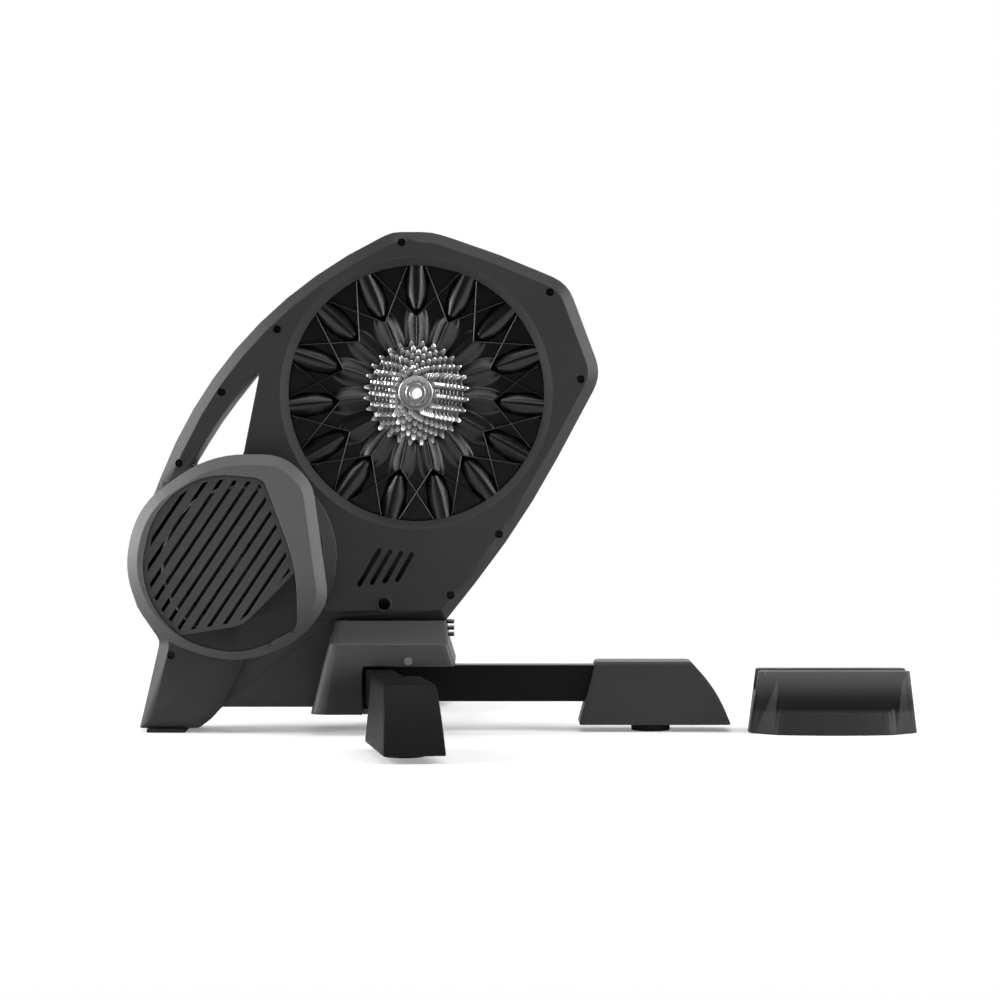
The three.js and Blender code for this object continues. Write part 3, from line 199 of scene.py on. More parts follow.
CAMERA_AHEAD, CAMERA_AWAY, CAMERA_HEIGHT = 0.0719, 4.045, 0.349
camera = bpy.data.cameras.new("camera")
camera.lens, camera.sensor_width = 127.6, 36
camera.shift_x, camera.shift_y = 0.02, -0.076
camera_stand = bpy.data.objects.new("camera", camera)
camera_stand.location = (middle_of("hub_axle").x + CAMERA_AHEAD, -CAMERA_AWAY, CAMERA_HEIGHT)
camera_stand.rotation_euler = (math.radians(90), 0, 0)
bpy.context.collection.objects.link(camera_stand)
bpy.context.scene.camera = camera_stand
bpy.context.scene.view_settings.view_transform = "Standard"


# The casing: two moulded halves of dark grey plastic with a fine spark-eroded grain, screwed
# together from the drive side. Their edges are rounded over about a millimetre, and catch the light.
def body_of(node):
    bodies = frame["record"]["behaviour"]["bodies"]
    return next(name for name, nodes in bodies.items() if node in nodes)


def slot_of(node):
    return next(part["material_slot"] for part in frame["record"]["subparts"] if part["node"] == node)


def finished(name, mesh, finish, *nodes, body=None):
    """Puts a mesh in the scene as a piece that stands for the CAD nodes named."""
    piece = bpy.data.objects.new(name, mesh)
    bpy.context.collection.objects.link(piece)
    mesh.materials.clear()
    mesh.materials.append(finish.material)
    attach(piece, body or body_of(nodes[0]))
    if nodes:
        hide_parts(*nodes)
        slot_of(nodes[0])
    return piece


WELD_REACH, LEVEL_ANGLE, LEAST_ROOM, ROOM_USED = 2e-6, 0.002, 0.00002, 0.42


def whole_faces(work):
    """Joins triangles that lie level with each other, as far as no face comes to surround a hole."""
    level = [edge for edge in work.edges
             if edge.is_manifold and edge.calc_face_angle(1.0) < LEVEL_ANGLE]
    for edge in sorted(level, key=lambda edge: -edge.calc_length()):
        if edge.is_valid and len(edge.link_faces) == 2:
            one, other = edge.link_faces
            shared = sum(other in side.link_faces for side in one.edges)
            if len(set(one.verts) & set(other.verts)) == shared + 1:
                bmesh.utils.face_join((one, other))


def room_beside(edge):
    """How far the faces of an edge reach from it before they end, at three places along it."""
    room = 1.0
    for loop in edge.link_loops:
        start, end = loop.vert.co, loop.link_loop_next.vert.co
        along = (end - start).normalized()
        inward = loop.face.normal.cross(along)
        for share in (0.1, 0.5, 0.9):
            place = start.lerp(end, share)
            for other in loop.face.edges:
                one, two = other.verts[0].co - place, other.verts[1].co - place
                left, right = one.dot(along), two.dot(along)
                if other != edge and (left > 0) != (right > 0):
                    height, far = one.dot(inward), two.dot(inward)
                    crossing = height + (far - height) * left / (left - right)
                    if crossing > LEAST_ROOM:
                        room = min(room, crossing)
    return room


def softened(node, finish, reach, steps=2, sharp=28, corners=True):
    """Stands a copy of a CAD node in its place, with its sharp edges rounded as far as there is room.

    Without corners, it leaves out each edge that ends where three or more sharp edges meet.
    """
    mesh = frame["nodes"][node].data.copy()
    work = bmesh.new()
    work.from_mesh(mesh)
    bmesh.ops.remove_doubles(work, verts=work.verts, dist=WELD_REACH)
    whole_faces(work)
    weight = work.edges.layers.float.new("bevel_weight_edge")
    folds = {edge for edge in work.edges
             if edge.is_manifold and edge.calc_face_angle(0.0) > math.radians(sharp)}
    for edge in folds:
        if corners or all(sum(other in folds for other in end.link_edges) == 2 for end in edge.verts):
            edge[weight] = min(1.0, ROOM_USED * room_beside(edge) / reach)
    work.to_mesh(mesh)
    work.free()
    raw = bpy.data.objects.new("raw", mesh)
    bpy.context.collection.objects.link(raw)
    edge = raw.modifiers.new("edge", "BEVEL")
    edge.width, edge.segments, edge.limit_method = reach, steps, "WEIGHT"
    edge.use_clamp_overlap = False
    edge.miter_outer = "MITER_ARC"
    even = raw.modifiers.new("even", "WEIGHTED_NORMAL")
    even.keep_sharp = True
    mesh.shade_smooth()
    rounded = bpy.data.meshes.new_from_object(raw.evaluated_get(bpy.context.evaluated_depsgraph_get()))
    bpy.data.objects.remove(raw)
    return finished(f"{node}_skin", rounded, finish, node)


def grained(name, roughness, grain, depth, cloud=0.16):
    """Plastic from a spark-eroded mould: a fine grain, and faint clouds in its gloss."""
    finish = Finish(name, Specular_IOR_Level=0.3)
    drift = finish.noise(9.0, detail=3.0)
    speck = finish.noise(grain, roughness=0.6)
    finish.set(Roughness=roughness + (drift - 0.5) * cloud + (speck - 0.5) * 0.12)
    finish.bump(speck, depth)
    return finish


def moulded(name, colour, **gloss_and_grain):
    """Such plastic in one colour, with a little dust on it, here more and there less."""
    finish = grained(name, **gloss_and_grain)
    dusty = tuple(c * 1.2 for c in colour)
    dust = finish.noise(9.0, detail=3.0).between(0.3, 0.75)
    finish.set(Base_Color=finish.mix(dust, colour, dusty))
    return finish


casing_plastic = moulded("casing_plastic", (0.0165, 0.0167, 0.0172), roughness=0.48,
                         grain=1500, depth=0.00007)
softened("drive_side_casing", casing_plastic, reach=0.001, corners=False)
softened("far_side_casing", casing_plastic, reach=0.0013, sharp=40, corners=False)


# Inside the casing: the steel frame, the axles and bearings, the brake and the board. Little of
# them shows, but each keeps its own finish: blackened plate, turned steel, copper windings and
# green board.
def lathe_rings(finish, axis, depth):
    """Cuts the fine rings of a lathe round an axis along Y, and gives how high they stand."""
    sockets = {"W": finish.reach_from(axis) * 1600, "Scale": 1.0, "Detail": 3.0}
    rings = finish.node("TexNoise", {"noise_dimensions": "1D"}, sockets)
    finish.bump(rings, depth)
    return rings


def turned_metal(name, colour, node, roughness, depth=0.00003, metallic=0.85):
    """Metal turned on a lathe round the axis of a CAD node, its rings brighter and duller in turn."""
    finish = Finish(name, Metallic=metallic)
    rings = lathe_rings(finish, middle_of(node), depth)
    smear = finish.noise(60)
    dull = tuple(c * 0.86 for c in colour)
    finish.set(Base_Color=finish.mix(rings.between(0.35, 0.65), dull, colour),
               Roughness=roughness + (rings - 0.5) * 0.16 + (smear - 0.5) * 0.12)
    return finish


def sheet_metal(name, colour, roughness):
    """Rolled or painted steel with a faint grain along X."""
    finish = Finish(name, Metallic=1.0)
    grain = finish.noise(700, detail=3.0, stretch=(0.06, 1, 1))
    cloud = finish.noise(14)
    dull = tuple(c * 0.85 for c in colour)
    finish.set(Base_Color=finish.mix(cloud.between(0.3, 0.7), dull, colour),
               Roughness=roughness + (grain - 0.5) * 0.18 + (cloud - 0.5) * 0.08)
    finish.bump(grain, 0.00003)
    return finish


def dress(finish, *nodes):
    """Gives CAD nodes that keep their own shape a finish."""
    for node in nodes:
        frame["nodes"][node].data.materials.clear()
        frame["nodes"][node].data.materials.append(finish.material)


black_steel = sheet_metal("black_steel", (0.06, 0.06, 0.063), roughness=0.42)
dress(black_steel, "main_frame", "idler_arm", "brake_yoke", "base_plate_upper", "base_plate_lower",
      "flywheel_axle")
hub_steel = turned_metal("hub_steel", (0.5, 0.5, 0.51), "hub_axle", roughness=0.3)
dress(hub_steel, "hub_axle", "pulley_bearing_near", "pulley_bearing_far", "freehub_bearing")
idler_steel = turned_metal("idler_steel", (0.45, 0.45, 0.46), "idler_pulley", roughness=0.35)
dress(idler_steel, "idler_pulley")

coil_wire = Finish("coil_wire", Metallic=0.9)
turns = coil_wire.node("TexWave", {"bands_direction": "Y"}, {"Vector": coil_wire.place, "Scale": 900.0})
coil_wire.set(Base_Color=coil_wire.mix(turns, (0.2, 0.07, 0.025), (0.55, 0.23, 0.1)),
              Roughness=0.3 + turns * 0.15)
coil_wire.bump(turns, 0.0003)
dress(coil_wire, "brake_coil_1", "brake_coil_2", "brake_coil_3", "brake_coil_4")

board_green = Finish("board_green", Roughness=0.4)
tracks = board_green.node("TexVoronoi", {"distance": "MANHATTAN"},
                          {"Vector": board_green.place, "Scale": 300.0})
lacquer = tracks.between(0.2, 0.5)
board_green.set(Base_Color=board_green.mix(lacquer, (0.05, 0.2, 0.1), (0.012, 0.07, 0.03)))
board_green.bump(tracks, 0.0001)
dress(board_green, "circuit_board")


# The large pulley: one black moulding with a satin gloss. Fifteen pointed petals stand round its
# hub, a long leaf swells outside the tip of each, and thin ribs run from the tips and cross between
# the leaves.
def edged(name, work):
    """Makes a mesh that is smooth but for its sharp edges."""
    mesh = bpy.data.meshes.new(name)
    work.to_mesh(mesh)
    work.free()
    mesh.shade_smooth()
    mesh.set_sharp_from_angle(angle=math.radians(32))
    return mesh


def ringed(name, axis, count, *loops):
    """A closed ring round an axis along Y, with count points to the turn.

    Each loop gives its radius, as a number or by the turn, and its Y.
    """
    work = bmesh.new()
    rings = []
    for radius, y in loops:
        ring = []
        for i in range(count):
            reach = radius(i / count) if callable(radius) else radius
            angle = 2 * math.pi * i / count
            ring.append(work.verts.new((axis.x + reach * math.sin(angle), y,
                                        axis.z + reach * math.cos(angle))))
        rings.append(ring)
    for one, other in zip(rings, rings[1:] + rings[:1]):
        for i in range(count):
            j = (i + 1) % count
            work.faces.new((one[i], one[j], other[j], other[i]))
    bmesh.ops.recalc_face_normals(work, faces=work.faces)
    return edged(name, work)


def joined(name, meshes):
    """Makes one mesh of several."""
    work = bmesh.new()
    for mesh in meshes:
        work.from_mesh(mesh)
        bpy.data.meshes.remove(mesh)
    return edged(name, work)


hub = middle_of("hub_axle")
PETALS = 15
SECTOR = 2 * math.pi / PETALS
WEB_FACE = -0.0275
WEB_START, WEB_END = 0.0252, 0.1465
KNOT = 0.0868  # how far from the axis a petal's tip, its leaf and its ribs meet
LEAF_START, LEAF_FULL, LEAF_HALF, LEAF_HEIGHT = 0.0885, 0.126, 0.0135, 0.0094
PETAL_MIDDLE, PETAL_IN, PETAL_OUT, PETAL_HALF, PETAL_HEIGHT = 0.077, 0.040, 0.025, 0.0165, 0.0085


def petal_swell(radius, turn):
    """How far the face stands out towards the drive side, in metres."""
    local = (turn / SECTOR - round(turn / SECTOR)) * SECTOR
    across, along = abs(radius * math.sin(local)), radius * math.cos(local)
    if along - KNOT > across:
        grown = min(1.0, max(0.0, (along - LEAF_START) / (LEAF_FULL - LEAF_START)))
        half = LEAF_HALF * math.sqrt(max(1e-9, 1 - (1 - grown) ** 2))
        share = min(1.0, across / half)
        round_top, soft_top = math.sqrt(1 - share ** 2), math.cos(share * math.pi / 2) ** 2
        return LEAF_HEIGHT * min(1.0, grown * 5) * (0.6 * round_top + 0.4 * soft_top)
    reach = PETAL_IN if along < PETAL_MIDDLE else PETAL_OUT
    left = 1 - ((along - PETAL_MIDDLE) / reach) ** 2
    if left <= 0:
        return 0.0
    share = min(1.0, across / (PETAL_HALF * math.sqrt(left)))
    ridge, soft_top = 1 - share, math.cos(share * math.pi / 2) ** 2
    return PETAL_HEIGHT * min(1.0, left * 3) * (0.35 * ridge + 0.65 * soft_top)


def petal_face():
    """The web's face, with its petals and leaves."""
    steps, around = 96, PETALS * 56
    points, faces = [], []
    for r in range(steps + 1):
        radius = WEB_START + (WEB_END - WEB_START) * r / steps
        for a in range(around):
            turn = 2 * math.pi * a / around
            points.append((hub.x + radius * math.sin(turn), WEB_FACE - petal_swell(radius, turn),
                           hub.z + radius * math.cos(turn)))
    for r in range(steps):
        for a in range(around):
            b = (a + 1) % around
            faces.append((r * around + a, r * around + b, (r + 1) * around + b, (r + 1) * around + a))
    mesh = bpy.data.meshes.new("petal_face")
    mesh.from_pydata(points, [], faces)
    return mesh


RIB_BACK = ((-1, 1), (-0.6, 0.35), (0, 0), (0.6, 0.35), (1, 1))  # across, and down from the top


def rib(start, end, half, top, foot):
    """A thin rib between two places in X and Z, with a rounded back."""
    along = (end - start).normalized()
    side = Vector((along.y, -along.x)) * half
    outline = [(-1, foot), *((across, top + half * down) for across, down in RIB_BACK), (1, foot)]
    points = []
    for place in (start, end):
        for across, y in outline:
            spot = place + side * across
            points.append((spot.x, y, spot.y))
    sides = [(i, i + 1, i + 8, i + 7) for i in range(6)]
    mesh = bpy.data.meshes.new("rib")
    mesh.from_pydata(points, [], [*sides, (6, 5, 4, 3, 2, 1, 0), (7, 8, 9, 10, 11, 12, 13), (0, 7, 13, 6)])
    return mesh


PETAL_RIB_START, PETAL_RIB_HALF, PETAL_RIB_HEIGHT = 0.05, 0.0006, 0.0092
CROSS_RIB_REACH, CROSS_RIB_ASIDE = 0.1352, 0.0484
CROSS_RIB_HALF, CROSS_RIB_HEIGHT, CROSS_RIB_ROOT = 0.0009, 0.0084, 0.001


def pulley_ribs():
    """One rib along each petal, and two from its tip that cross those of its neighbours."""
    middle = Vector((hub.x, hub.z))
    made = []
    for i in range(PETALS):
        turn = i * SECTOR
        out, side = Vector((math.sin(turn), math.cos(turn))), Vector((math.cos(turn), -math.sin(turn)))
        knot = middle + out * KNOT
        made.append(rib(middle + out * PETAL_RIB_START, knot, PETAL_RIB_HALF,
                        WEB_FACE - PETAL_RIB_HEIGHT, WEB_FACE))
        for hand in (-1, 1):
            end = middle + out * CROSS_RIB_REACH + side * hand * CROSS_RIB_ASIDE
            made.append(rib(knot, end, CROSS_RIB_HALF,
                            WEB_FACE - CROSS_RIB_HEIGHT, WEB_FACE + CROSS_RIB_ROOT))
    return made


pulley_plastic = Finish("pulley_plastic", Specular_IOR_Level=0.34, Base_Color=(0.002, 0.002, 0.0022))
flow = pulley_plastic.noise(22, detail=3.0)
pulley_plastic.set(Roughness=0.27 + (flow - 0.5) * 0.1)
pulley_plastic.bump(pulley_plastic.noise(420), depth=0.00002)

PULLEY_BACK = -0.0101
RIM_IN, RIM_OUT, RIM_FRONT, RIM_EASE = 0.1452, 0.15, -0.0319, 0.0008
BOSS_BORE, BOSS_OUT, BOSS_FRONT, BOSS_EASE = 0.0143, 0.025, -0.036, 0.0005
pulley_rim = ringed(
    "pulley_rim", hub, 180,
    (RIM_IN, WEB_FACE + 0.0007), (RIM_IN, RIM_FRONT + 0.0007), (RIM_IN + RIM_EASE, RIM_FRONT),
    (RIM_OUT - RIM_EASE, RIM_FRONT), (RIM_OUT, RIM_FRONT + RIM_EASE), (RIM_OUT, PULLEY_BACK - RIM_EASE),
    (RIM_OUT - RIM_EASE, PULLEY_BACK), (RIM_IN + RIM_EASE, PULLEY_BACK), (RIM_IN, PULLEY_BACK - RIM_EASE))
pulley_boss = ringed(
    "pulley_boss", hub, 96,
    (BOSS_BORE, BOSS_FRONT + BOSS_EASE), (BOSS_BORE + BOSS_EASE, BOSS_FRONT),
    (BOSS_OUT - BOSS_EASE, BOSS_FRONT), (BOSS_OUT, BOSS_FRONT + BOSS_EASE), (WEB_START, WEB_FACE),
    (BOSS_OUT, PULLEY_BACK), (BOSS_BORE, PULLEY_BACK))
pulley_web = ringed(
    "pulley_web", hub, 120,
    (BOSS_OUT - BOSS_EASE, WEB_FACE + 0.0013), (WEB_END - 0.001, WEB_FACE + 0.0013),
    (WEB_END - 0.0003, WEB_FACE + 0.0005), (BOSS_OUT - BOSS_EASE, WEB_FACE + 0.0005))
pulley_meshes = [petal_face(), pulley_rim, pulley_boss, pulley_web, *pulley_ribs()]
finished("pulley_petals", joined("pulley_petals", pulley_meshes), pulley_plastic, "drive_pulley")

# The cassette: eleven stamped and plated sprockets, 28 teeth behind to 11 in front, on an aluminium
# freehub. The teeth are chamfered, every few of them deeper to lead the chain across.
CHAIN_PITCH = 0.0127
ROOT_IN, TIP_OUT = 0.0039, 0.0026  # how far the teeth reach to both sides of the pitch circle
SPROCKET_BORE = 0.0172
LEVEL_TOOTH = 0.27  # the turn at which one tooth of each sprocket stands
TIP_HALF, FLANK = 0.07, 0.27  # as shares of the room that one tooth has
FRONT_BEVEL, FRONT_INSET, BACK_BEVEL, BACK_INSET = 0.0008, 0.0009, 0.0004, 0.0005
LEADING_TOOTH, LEADING_INSET = 4, 1.9  # every fourth tooth is cut that many times deeper


def tooth_reach(teeth):
    """The radii of the roots and the tips of a sprocket's teeth."""
    pitch_radius = CHAIN_PITCH / (2 * math.sin(math.pi / teeth))
    return pitch_radius - ROOT_IN, pitch_radius + TIP_OUT


def tooth_plate(node, teeth):
    """The plating of one sprocket, with painted shade darkening it inward of the tooth roots, where the gaps
    to the next sprocket lie in shadow.
    """
    plate = Finish(f"{node}_plate", Metallic=0.95)
    lathe_rings(plate, hub, depth=0.00001)
    root, tip = tooth_reach(teeth)
    # Painted shade: the plate is drawn dark from just inside the tooth roots inward, and bright towards the
    # tips.
    clear_of_shade = plate.reach_from(hub).between(root - 0.001, tip - 0.001)
    plate.set(Base_Color=plate.mix(clear_of_shade, (0.10, 0.10, 0.102), (0.78, 0.78, 0.79)),
              Roughness=0.36 - clear_of_shade * 0.1)
    return plate


def tooth_line(teeth, inset=0.0):
    """The outline of a sprocket by the turn: narrow tips with round seats for the chain between them."""
    root, tip = tooth_reach(teeth)

    def radius(turn):
        place = (turn - LEVEL_TOOTH) * teeth
        away = abs(place - round(place))
        slope = min(1.0, max(0.0, (away - TIP_HALF) / FLANK))
        deep = LEADING_INSET if inset and round(place) % LEADING_TOOTH == 2 else 1.0
        return tip + (root - tip) * slope * slope * (3 - 2 * slope) - inset * deep
    return radius


for teeth in (28, 25, 23, 21, 19, 17, 15, 14, 13, 12, 11):
    node = f"sprocket_{teeth}"
    front, back = (corner.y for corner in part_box(node))
    body = tooth_line(teeth)
    plated = ringed(
        f"{node}_plated", hub, teeth * 16,
        (SPROCKET_BORE, front), (tooth_line(teeth, FRONT_INSET), front), (body, front + FRONT_BEVEL),
        (body, back - BACK_BEVEL), (tooth_line(teeth, BACK_INSET), back), (SPROCKET_BORE, back))
    finished(f"{node}_plated", plated, tooth_plate(node, teeth), node)

freehub_alloy = turned_metal("freehub_alloy", (0.5, 0.51, 0.52), "hub_axle", roughness=0.34)
dress(freehub_alloy, "freehub_body")


# The lockring holds the cassette on, and has twelve notches for its tool. The end cap inside it is a
# turned sleeve with a knurled edge, against which the bike's frame is clamped.
def notched(radius, change, count):
    """A radius by the turn, changed in count notches as wide as what is left between them."""
    return lambda turn: radius + (change if abs((turn * count) % 1.0 - 0.5) < 0.25 else 0.0)


ring_plate = turned_metal("ring_plate", (0.48, 0.48, 0.49), "hub_axle", roughness=0.3,
                          depth=0.00002, metallic=0.97)
front, back = (corner.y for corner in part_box("lockring"))
RING_BORE, RING_OUT = 0.0113, 0.0191
tool_notches, ring_knurl = notched(RING_BORE, 0.0016, 12), notched(RING_OUT, -0.0003, 72)
lockring = ringed(
    "lockring_cut", hub, 288,
    (tool_notches, front + 0.0016), (0.0138, front + 0.0012), (0.0166, front + 0.0009),
    (0.0170, front + 0.0002), (0.0174, front), (RING_OUT - 0.0005, front), (ring_knurl, front + 0.0004),
    (ring_knurl, back), (RING_BORE, back))
finished("lockring_cut", lockring, ring_plate, "lockring")

CAP_BORE, CAP_OUT, CAP_EASE = 0.00645, 0.011, 0.0004
GROOVE_IN, GROOVE_OUT, GROOVE_DEPTH = 0.0082, 0.0097, 0.0016
cap_knurl = notched(CAP_OUT, -0.0004, 36)
for node, inward, metal in (("near_end_cap", 1, ring_plate), ("far_end_cap", -1, hub_steel)):
    face, back = (corner.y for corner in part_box(node)[::inward])
    cap = ringed(
        f"{node}_turned", hub, 288,
        (CAP_BORE, face + inward * CAP_EASE), (0.0069, face), (GROOVE_IN - 0.0001, face),
        (GROOVE_IN + 0.0001, face + inward * GROOVE_DEPTH),
        (GROOVE_OUT - 0.0001, face + inward * GROOVE_DEPTH), (GROOVE_OUT + 0.0002, face),
        (CAP_OUT - CAP_EASE, face), (CAP_OUT, face + inward * CAP_EASE), (cap_knurl, face + inward * 0.0009),
        (cap_knurl, back), (CAP_BORE, back))
    finished(f"{node}_turned", cap, metal, node)

# The belt is black ribbed rubber, and runs round the large pulley and the small one on the
# flywheel's axle. The power inlet is as black and as dull.
belt_rubber = Finish("belt_rubber", Base_Color=(0.008, 0.008, 0.008))
weave = belt_rubber.noise(800)
belt_rubber.set(Roughness=0.62 + (weave - 0.5) * 0.2)
belt_rubber.bump(weave, 0.00008)
dress(belt_rubber, "drive_belt", "power_inlet")

# The flywheel: a turned steel disc with a thin web. Its faces are blackened and its rim is left bright. The
# rim's polish is partly a painted glint, drawn in a pale, hardly metallic colour, and it shines through the
# slots of the grille.
bright_steel = turned_metal("bright_rim", (0.75, 0.75, 0.76), "flywheel_axle", roughness=0.2)
dress(bright_steel, "flywheel_pulley", "flywheel_bearing_near", "flywheel_bearing_far")

WHEEL_WEB, WHEEL_BORE, WHEEL_BOSS, WHEEL_EASE = 0.009, 0.0078, 0.022, 0.0005
WHEEL_RIM, RIM_BEVEL, RIM_BACK_EASE = 0.02, 0.003, 0.001
POLISHED_GLINT_START, POLISHED_GLINT_FULL = 0.0034, 0.0028  # in from the edge of the wheel
spin = middle_of("flywheel")
wheel_low, wheel_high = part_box("flywheel")
wheel_radius = (wheel_high.x - wheel_low.x) / 2
rim_inner = wheel_radius - WHEEL_RIM
front, back = wheel_low.y, wheel_high.y
sunk = (back - front - WHEEL_WEB) / 2
flywheel = ringed(
    "flywheel_turned", spin, 144,
    (WHEEL_BORE, front), (WHEEL_BOSS - WHEEL_EASE, front), (WHEEL_BOSS, front + WHEEL_EASE),
    (WHEEL_BOSS, front + sunk), (rim_inner, front + sunk), (rim_inner, front + WHEEL_EASE),
    (rim_inner + WHEEL_EASE, front), (wheel_radius - RIM_BEVEL, front),
    (wheel_radius, front + RIM_BEVEL), (wheel_radius, back - RIM_BACK_EASE),
    (wheel_radius - RIM_BACK_EASE, back), (rim_inner, back), (rim_inner, back - sunk),
    (WHEEL_BOSS, back - sunk), (WHEEL_BOSS, back), (WHEEL_BORE, back))
black_face = Finish("black_face")
lathe_rings(black_face, spin, depth=0.00002)
# Partly a painted glint: the polished rim is drawn near white and hardly metallic, so that it shines without
# reflecting a lamp.
polish_and_glint = black_face.reach_from(spin).between(wheel_radius - POLISHED_GLINT_START, wheel_radius - POLISHED_GLINT_FULL)
black_face.set(Base_Color=black_face.mix(polish_and_glint, (0.02, 0.02, 0.021), (0.9, 0.9, 0.91)),
               Roughness=0.45 - polish_and_glint * 0.05, Metallic=1 - polish_and_glint * 0.85)
finished("flywheel_turned", flywheel, black_face, "flywheel")


# The flywheel cover: a paler moulding that stands proud of the casing, with a broad sloping border.
# Its lower part is darkened with painted shade.
def shade_painted_below(finish, low, high, foot_colour, top_colour):
    """Paints shade on a finish by height, from one colour below the low mark to another above the high one.
    """
    finish.set(Base_Color=finish.mix(finish.along("Z").between(low, high), foot_colour, top_colour))


cover_plastic = grained("cover_plastic", roughness=0.46, grain=1500, depth=0.00007)
# Painted shade: the cover is drawn darker towards its foot.
shade_painted_below(cover_plastic, 0.085, 0.20, (0.028, 0.0282, 0.0288), (0.070, 0.0705, 0.072))
softened("flywheel_cover", cover_plastic, reach=0.001, corners=False)

# The grille and the smooth panel at its foot: a slotted moulding in a darker plastic and a glossy
# black plate, both sunk a little into the cover.
grille_plastic = moulded("grille_plastic", (0.03, 0.0303, 0.031), roughness=0.5,
                         grain=1500, depth=0.00006)
softened("flywheel_grille", grille_plastic, reach=0.0005)
panel_plastic = moulded("panel_plastic", (0.006, 0.006, 0.0065), roughness=0.25,
                        grain=900, depth=0.00002, cloud=0.05)
softened("grille_panel", panel_plastic, reach=0.0004, corners=False)


# The base cover: two moulded halves round the foot of the frame, in grey plastic with painted shade
# darkening it towards the floor. All their edges are eased round.
def worn_round(node, finish, voxel, passes):
    """Stands a finely meshed copy of a CAD node in its place, its edges eased as a mould leaves them."""
    raw = bpy.data.objects.new("raw", frame["nodes"][node].data.copy())
    bpy.context.collection.objects.link(raw)
    fine = raw.modifiers.new("fine", "REMESH")
    fine.mode, fine.voxel_size = "VOXEL", voxel
    ease = raw.modifiers.new("ease", "SMOOTH")
    ease.factor, ease.iterations = 0.5, passes
    raw.modifiers.new("fewer", "DECIMATE").ratio = 0.25
    eased = bpy.data.meshes.new_from_object(raw.evaluated_get(bpy.context.evaluated_depsgraph_get()))
    bpy.data.objects.remove(raw)
    eased.shade_smooth()
    return finished(f"{node}_skin", eased, finish, node)


base_plastic = grained("base_plastic", roughness=0.44, grain=1500, depth=0.00007)
# Painted shade: the base cover is drawn darker towards the floor.
shade_painted_below(base_plastic, 0.052, 0.098, (0.008, 0.0081, 0.0084), (0.048, 0.0484, 0.0495))
worn_round("base_cover_near", base_plastic, voxel=0.0011, passes=4)
worn_round("base_cover_far", base_plastic, voxel=0.0011, passes=4)

# The front fins cool the brake's board: blades of blackened aluminium that look out over the front
# leg.
fin_alloy = sheet_metal("fin_alloy", (0.03, 0.03, 0.032), roughness=0.4)
dress(fin_alloy, "heat_sink")

# The screws: nine of black steel with a six-sided socket hold the casing halves together, each sunk
# in its hole. Their places are shares of the casing's height, from the hub forward and from the
# floor up.
CASING_HEIGHT = 0.567
SCREW_PLACES = ((-0.0295, 0.9775), (0.2661, 0.8779), (0.3278, 0.7047), (-0.2773, 0.8042),
                (-0.3878, 0.6788), (-0.4724, 0.5375), (0.1646, 0.3961), (0.0683, 0.2747),
                (-0.4883, 0.1553))
SCREW_FACE, SCREW_HEIGHT, SCREW_RADIUS, SCREW_EASE = -0.0392, 0.0025, 0.0039, 0.0004
SOCKET_HALF, SOCKET_DEPTH = 0.0019, 0.0016


def socket(turn):
    """The radius of a six-sided hole by the turn."""
    return SOCKET_HALF / math.cos((turn * 6 % 1 - 0.5) * math.pi / 3)


def screw_head(axis):
    """A cylinder head with a rounded edge, and the floor of its socket."""
    back, floor = SCREW_FACE + SCREW_HEIGHT, SCREW_FACE + SOCKET_DEPTH
    head = ringed("head", axis, 48, (socket, SCREW_FACE), (SCREW_RADIUS - SCREW_EASE, SCREW_FACE),
                  (SCREW_RADIUS, SCREW_FACE + SCREW_EASE), (SCREW_RADIUS, back), (socket, back))
    plug = ringed("plug", axis, 48, (0.0001, floor), (socket, floor), (socket, back), (0.0001, back))
    return [head, plug]


screw_steel = sheet_metal("screw_steel", (0.02, 0.02, 0.021), roughness=0.35)
screws = []
for ahead, up in SCREW_PLACES:
    screws += screw_head(Vector((hub.x + ahead * CASING_HEIGHT, 0, up * CASING_HEIGHT)))
finished("casing_screws", joined("casing_screws", screws), screw_steel, body="trainer")

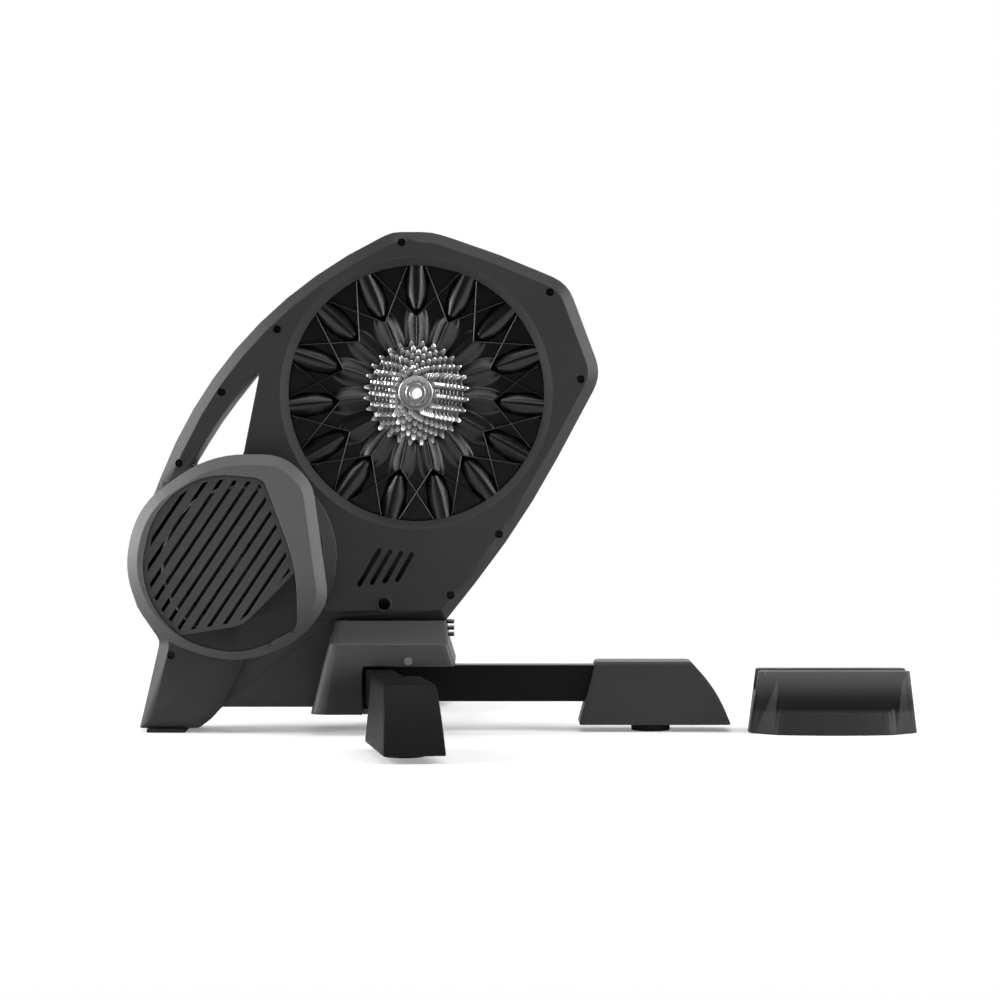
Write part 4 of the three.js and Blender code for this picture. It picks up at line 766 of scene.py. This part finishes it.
# The legs: black powder-coated box tube, with a moulded cap and a round screw foot at the end of
# each. The side legs turn on bolts through the base. A rubber pad stands under the casing's rear end.
leg_paint = Finish("leg_paint", Specular_IOR_Level=0.1)
powder = leg_paint.noise(900)
dusted = powder.between(0.3, 0.7)
leg_paint.set(Base_Color=leg_paint.mix(dusted, (0.002, 0.002, 0.0023), (0.004, 0.004, 0.0043)),
              Roughness=0.36 + (powder - 0.5) * 0.2)
leg_paint.bump(powder, 0.00006)
front_plastic = moulded("cap_plastic", (0.018, 0.0182, 0.0187), roughness=0.48,
                        grain=1400, depth=0.00008)
# Painted shade: the side legs' caps are the same plastic as the front cap, drawn much darker and duller.
shaded_side_plastic = moulded("shaded_side_plastic", (0.0025, 0.0026, 0.0027), roughness=0.56,
                       grain=1500, depth=0.00007)
shaded_side_plastic.set(Specular_IOR_Level=0.14)
foot_rubber = moulded("foot_rubber", (0.007, 0.007, 0.007), roughness=0.75, grain=700, depth=0.0001)
for leg, cap_plastic in (("front", front_plastic), ("near", shaded_side_plastic), ("far", shaded_side_plastic)):
    softened(f"{leg}_leg_beam", leg_paint, reach=0.0018, steps=3)
    worn_round(f"{leg}_leg_cap", cap_plastic, voxel=0.0012, passes=5)
    softened(f"{leg}_foot", foot_rubber, reach=0.0012)
softened("rear_pad", foot_rubber, reach=0.0012)
pivot_steel = sheet_metal("pivot_steel", (0.5, 0.5, 0.51), roughness=0.3)
dress(pivot_steel, "near_pivot_bolt", "far_pivot_bolt", "base_bolt")

# The riser block for the front wheel: one hollow moulding in satin black plastic, with its front panel sunk
# behind a skirt. Light and shade are painted on it: it is paler towards its top and a little along the foot
# of its skirt, and near black between.
riser_plastic = grained("riser_plastic", roughness=0.44, grain=1100, depth=0.00005)
height = riser_plastic.along("Z")
# Painted light and shade: the block is drawn paler towards its top and along the foot of its skirt, and near
# black between.
painted_light = height.between(0.034, 0.070) + (1 - height.between(0.023, 0.028)) * 0.3
riser_plastic.set(Base_Color=riser_plastic.mix(painted_light, (0.002, 0.002, 0.0022), (0.055, 0.055, 0.057)),
                  Specular_IOR_Level=0.2)
worn_round("riser_block", riser_plastic, voxel=0.0011, passes=4)
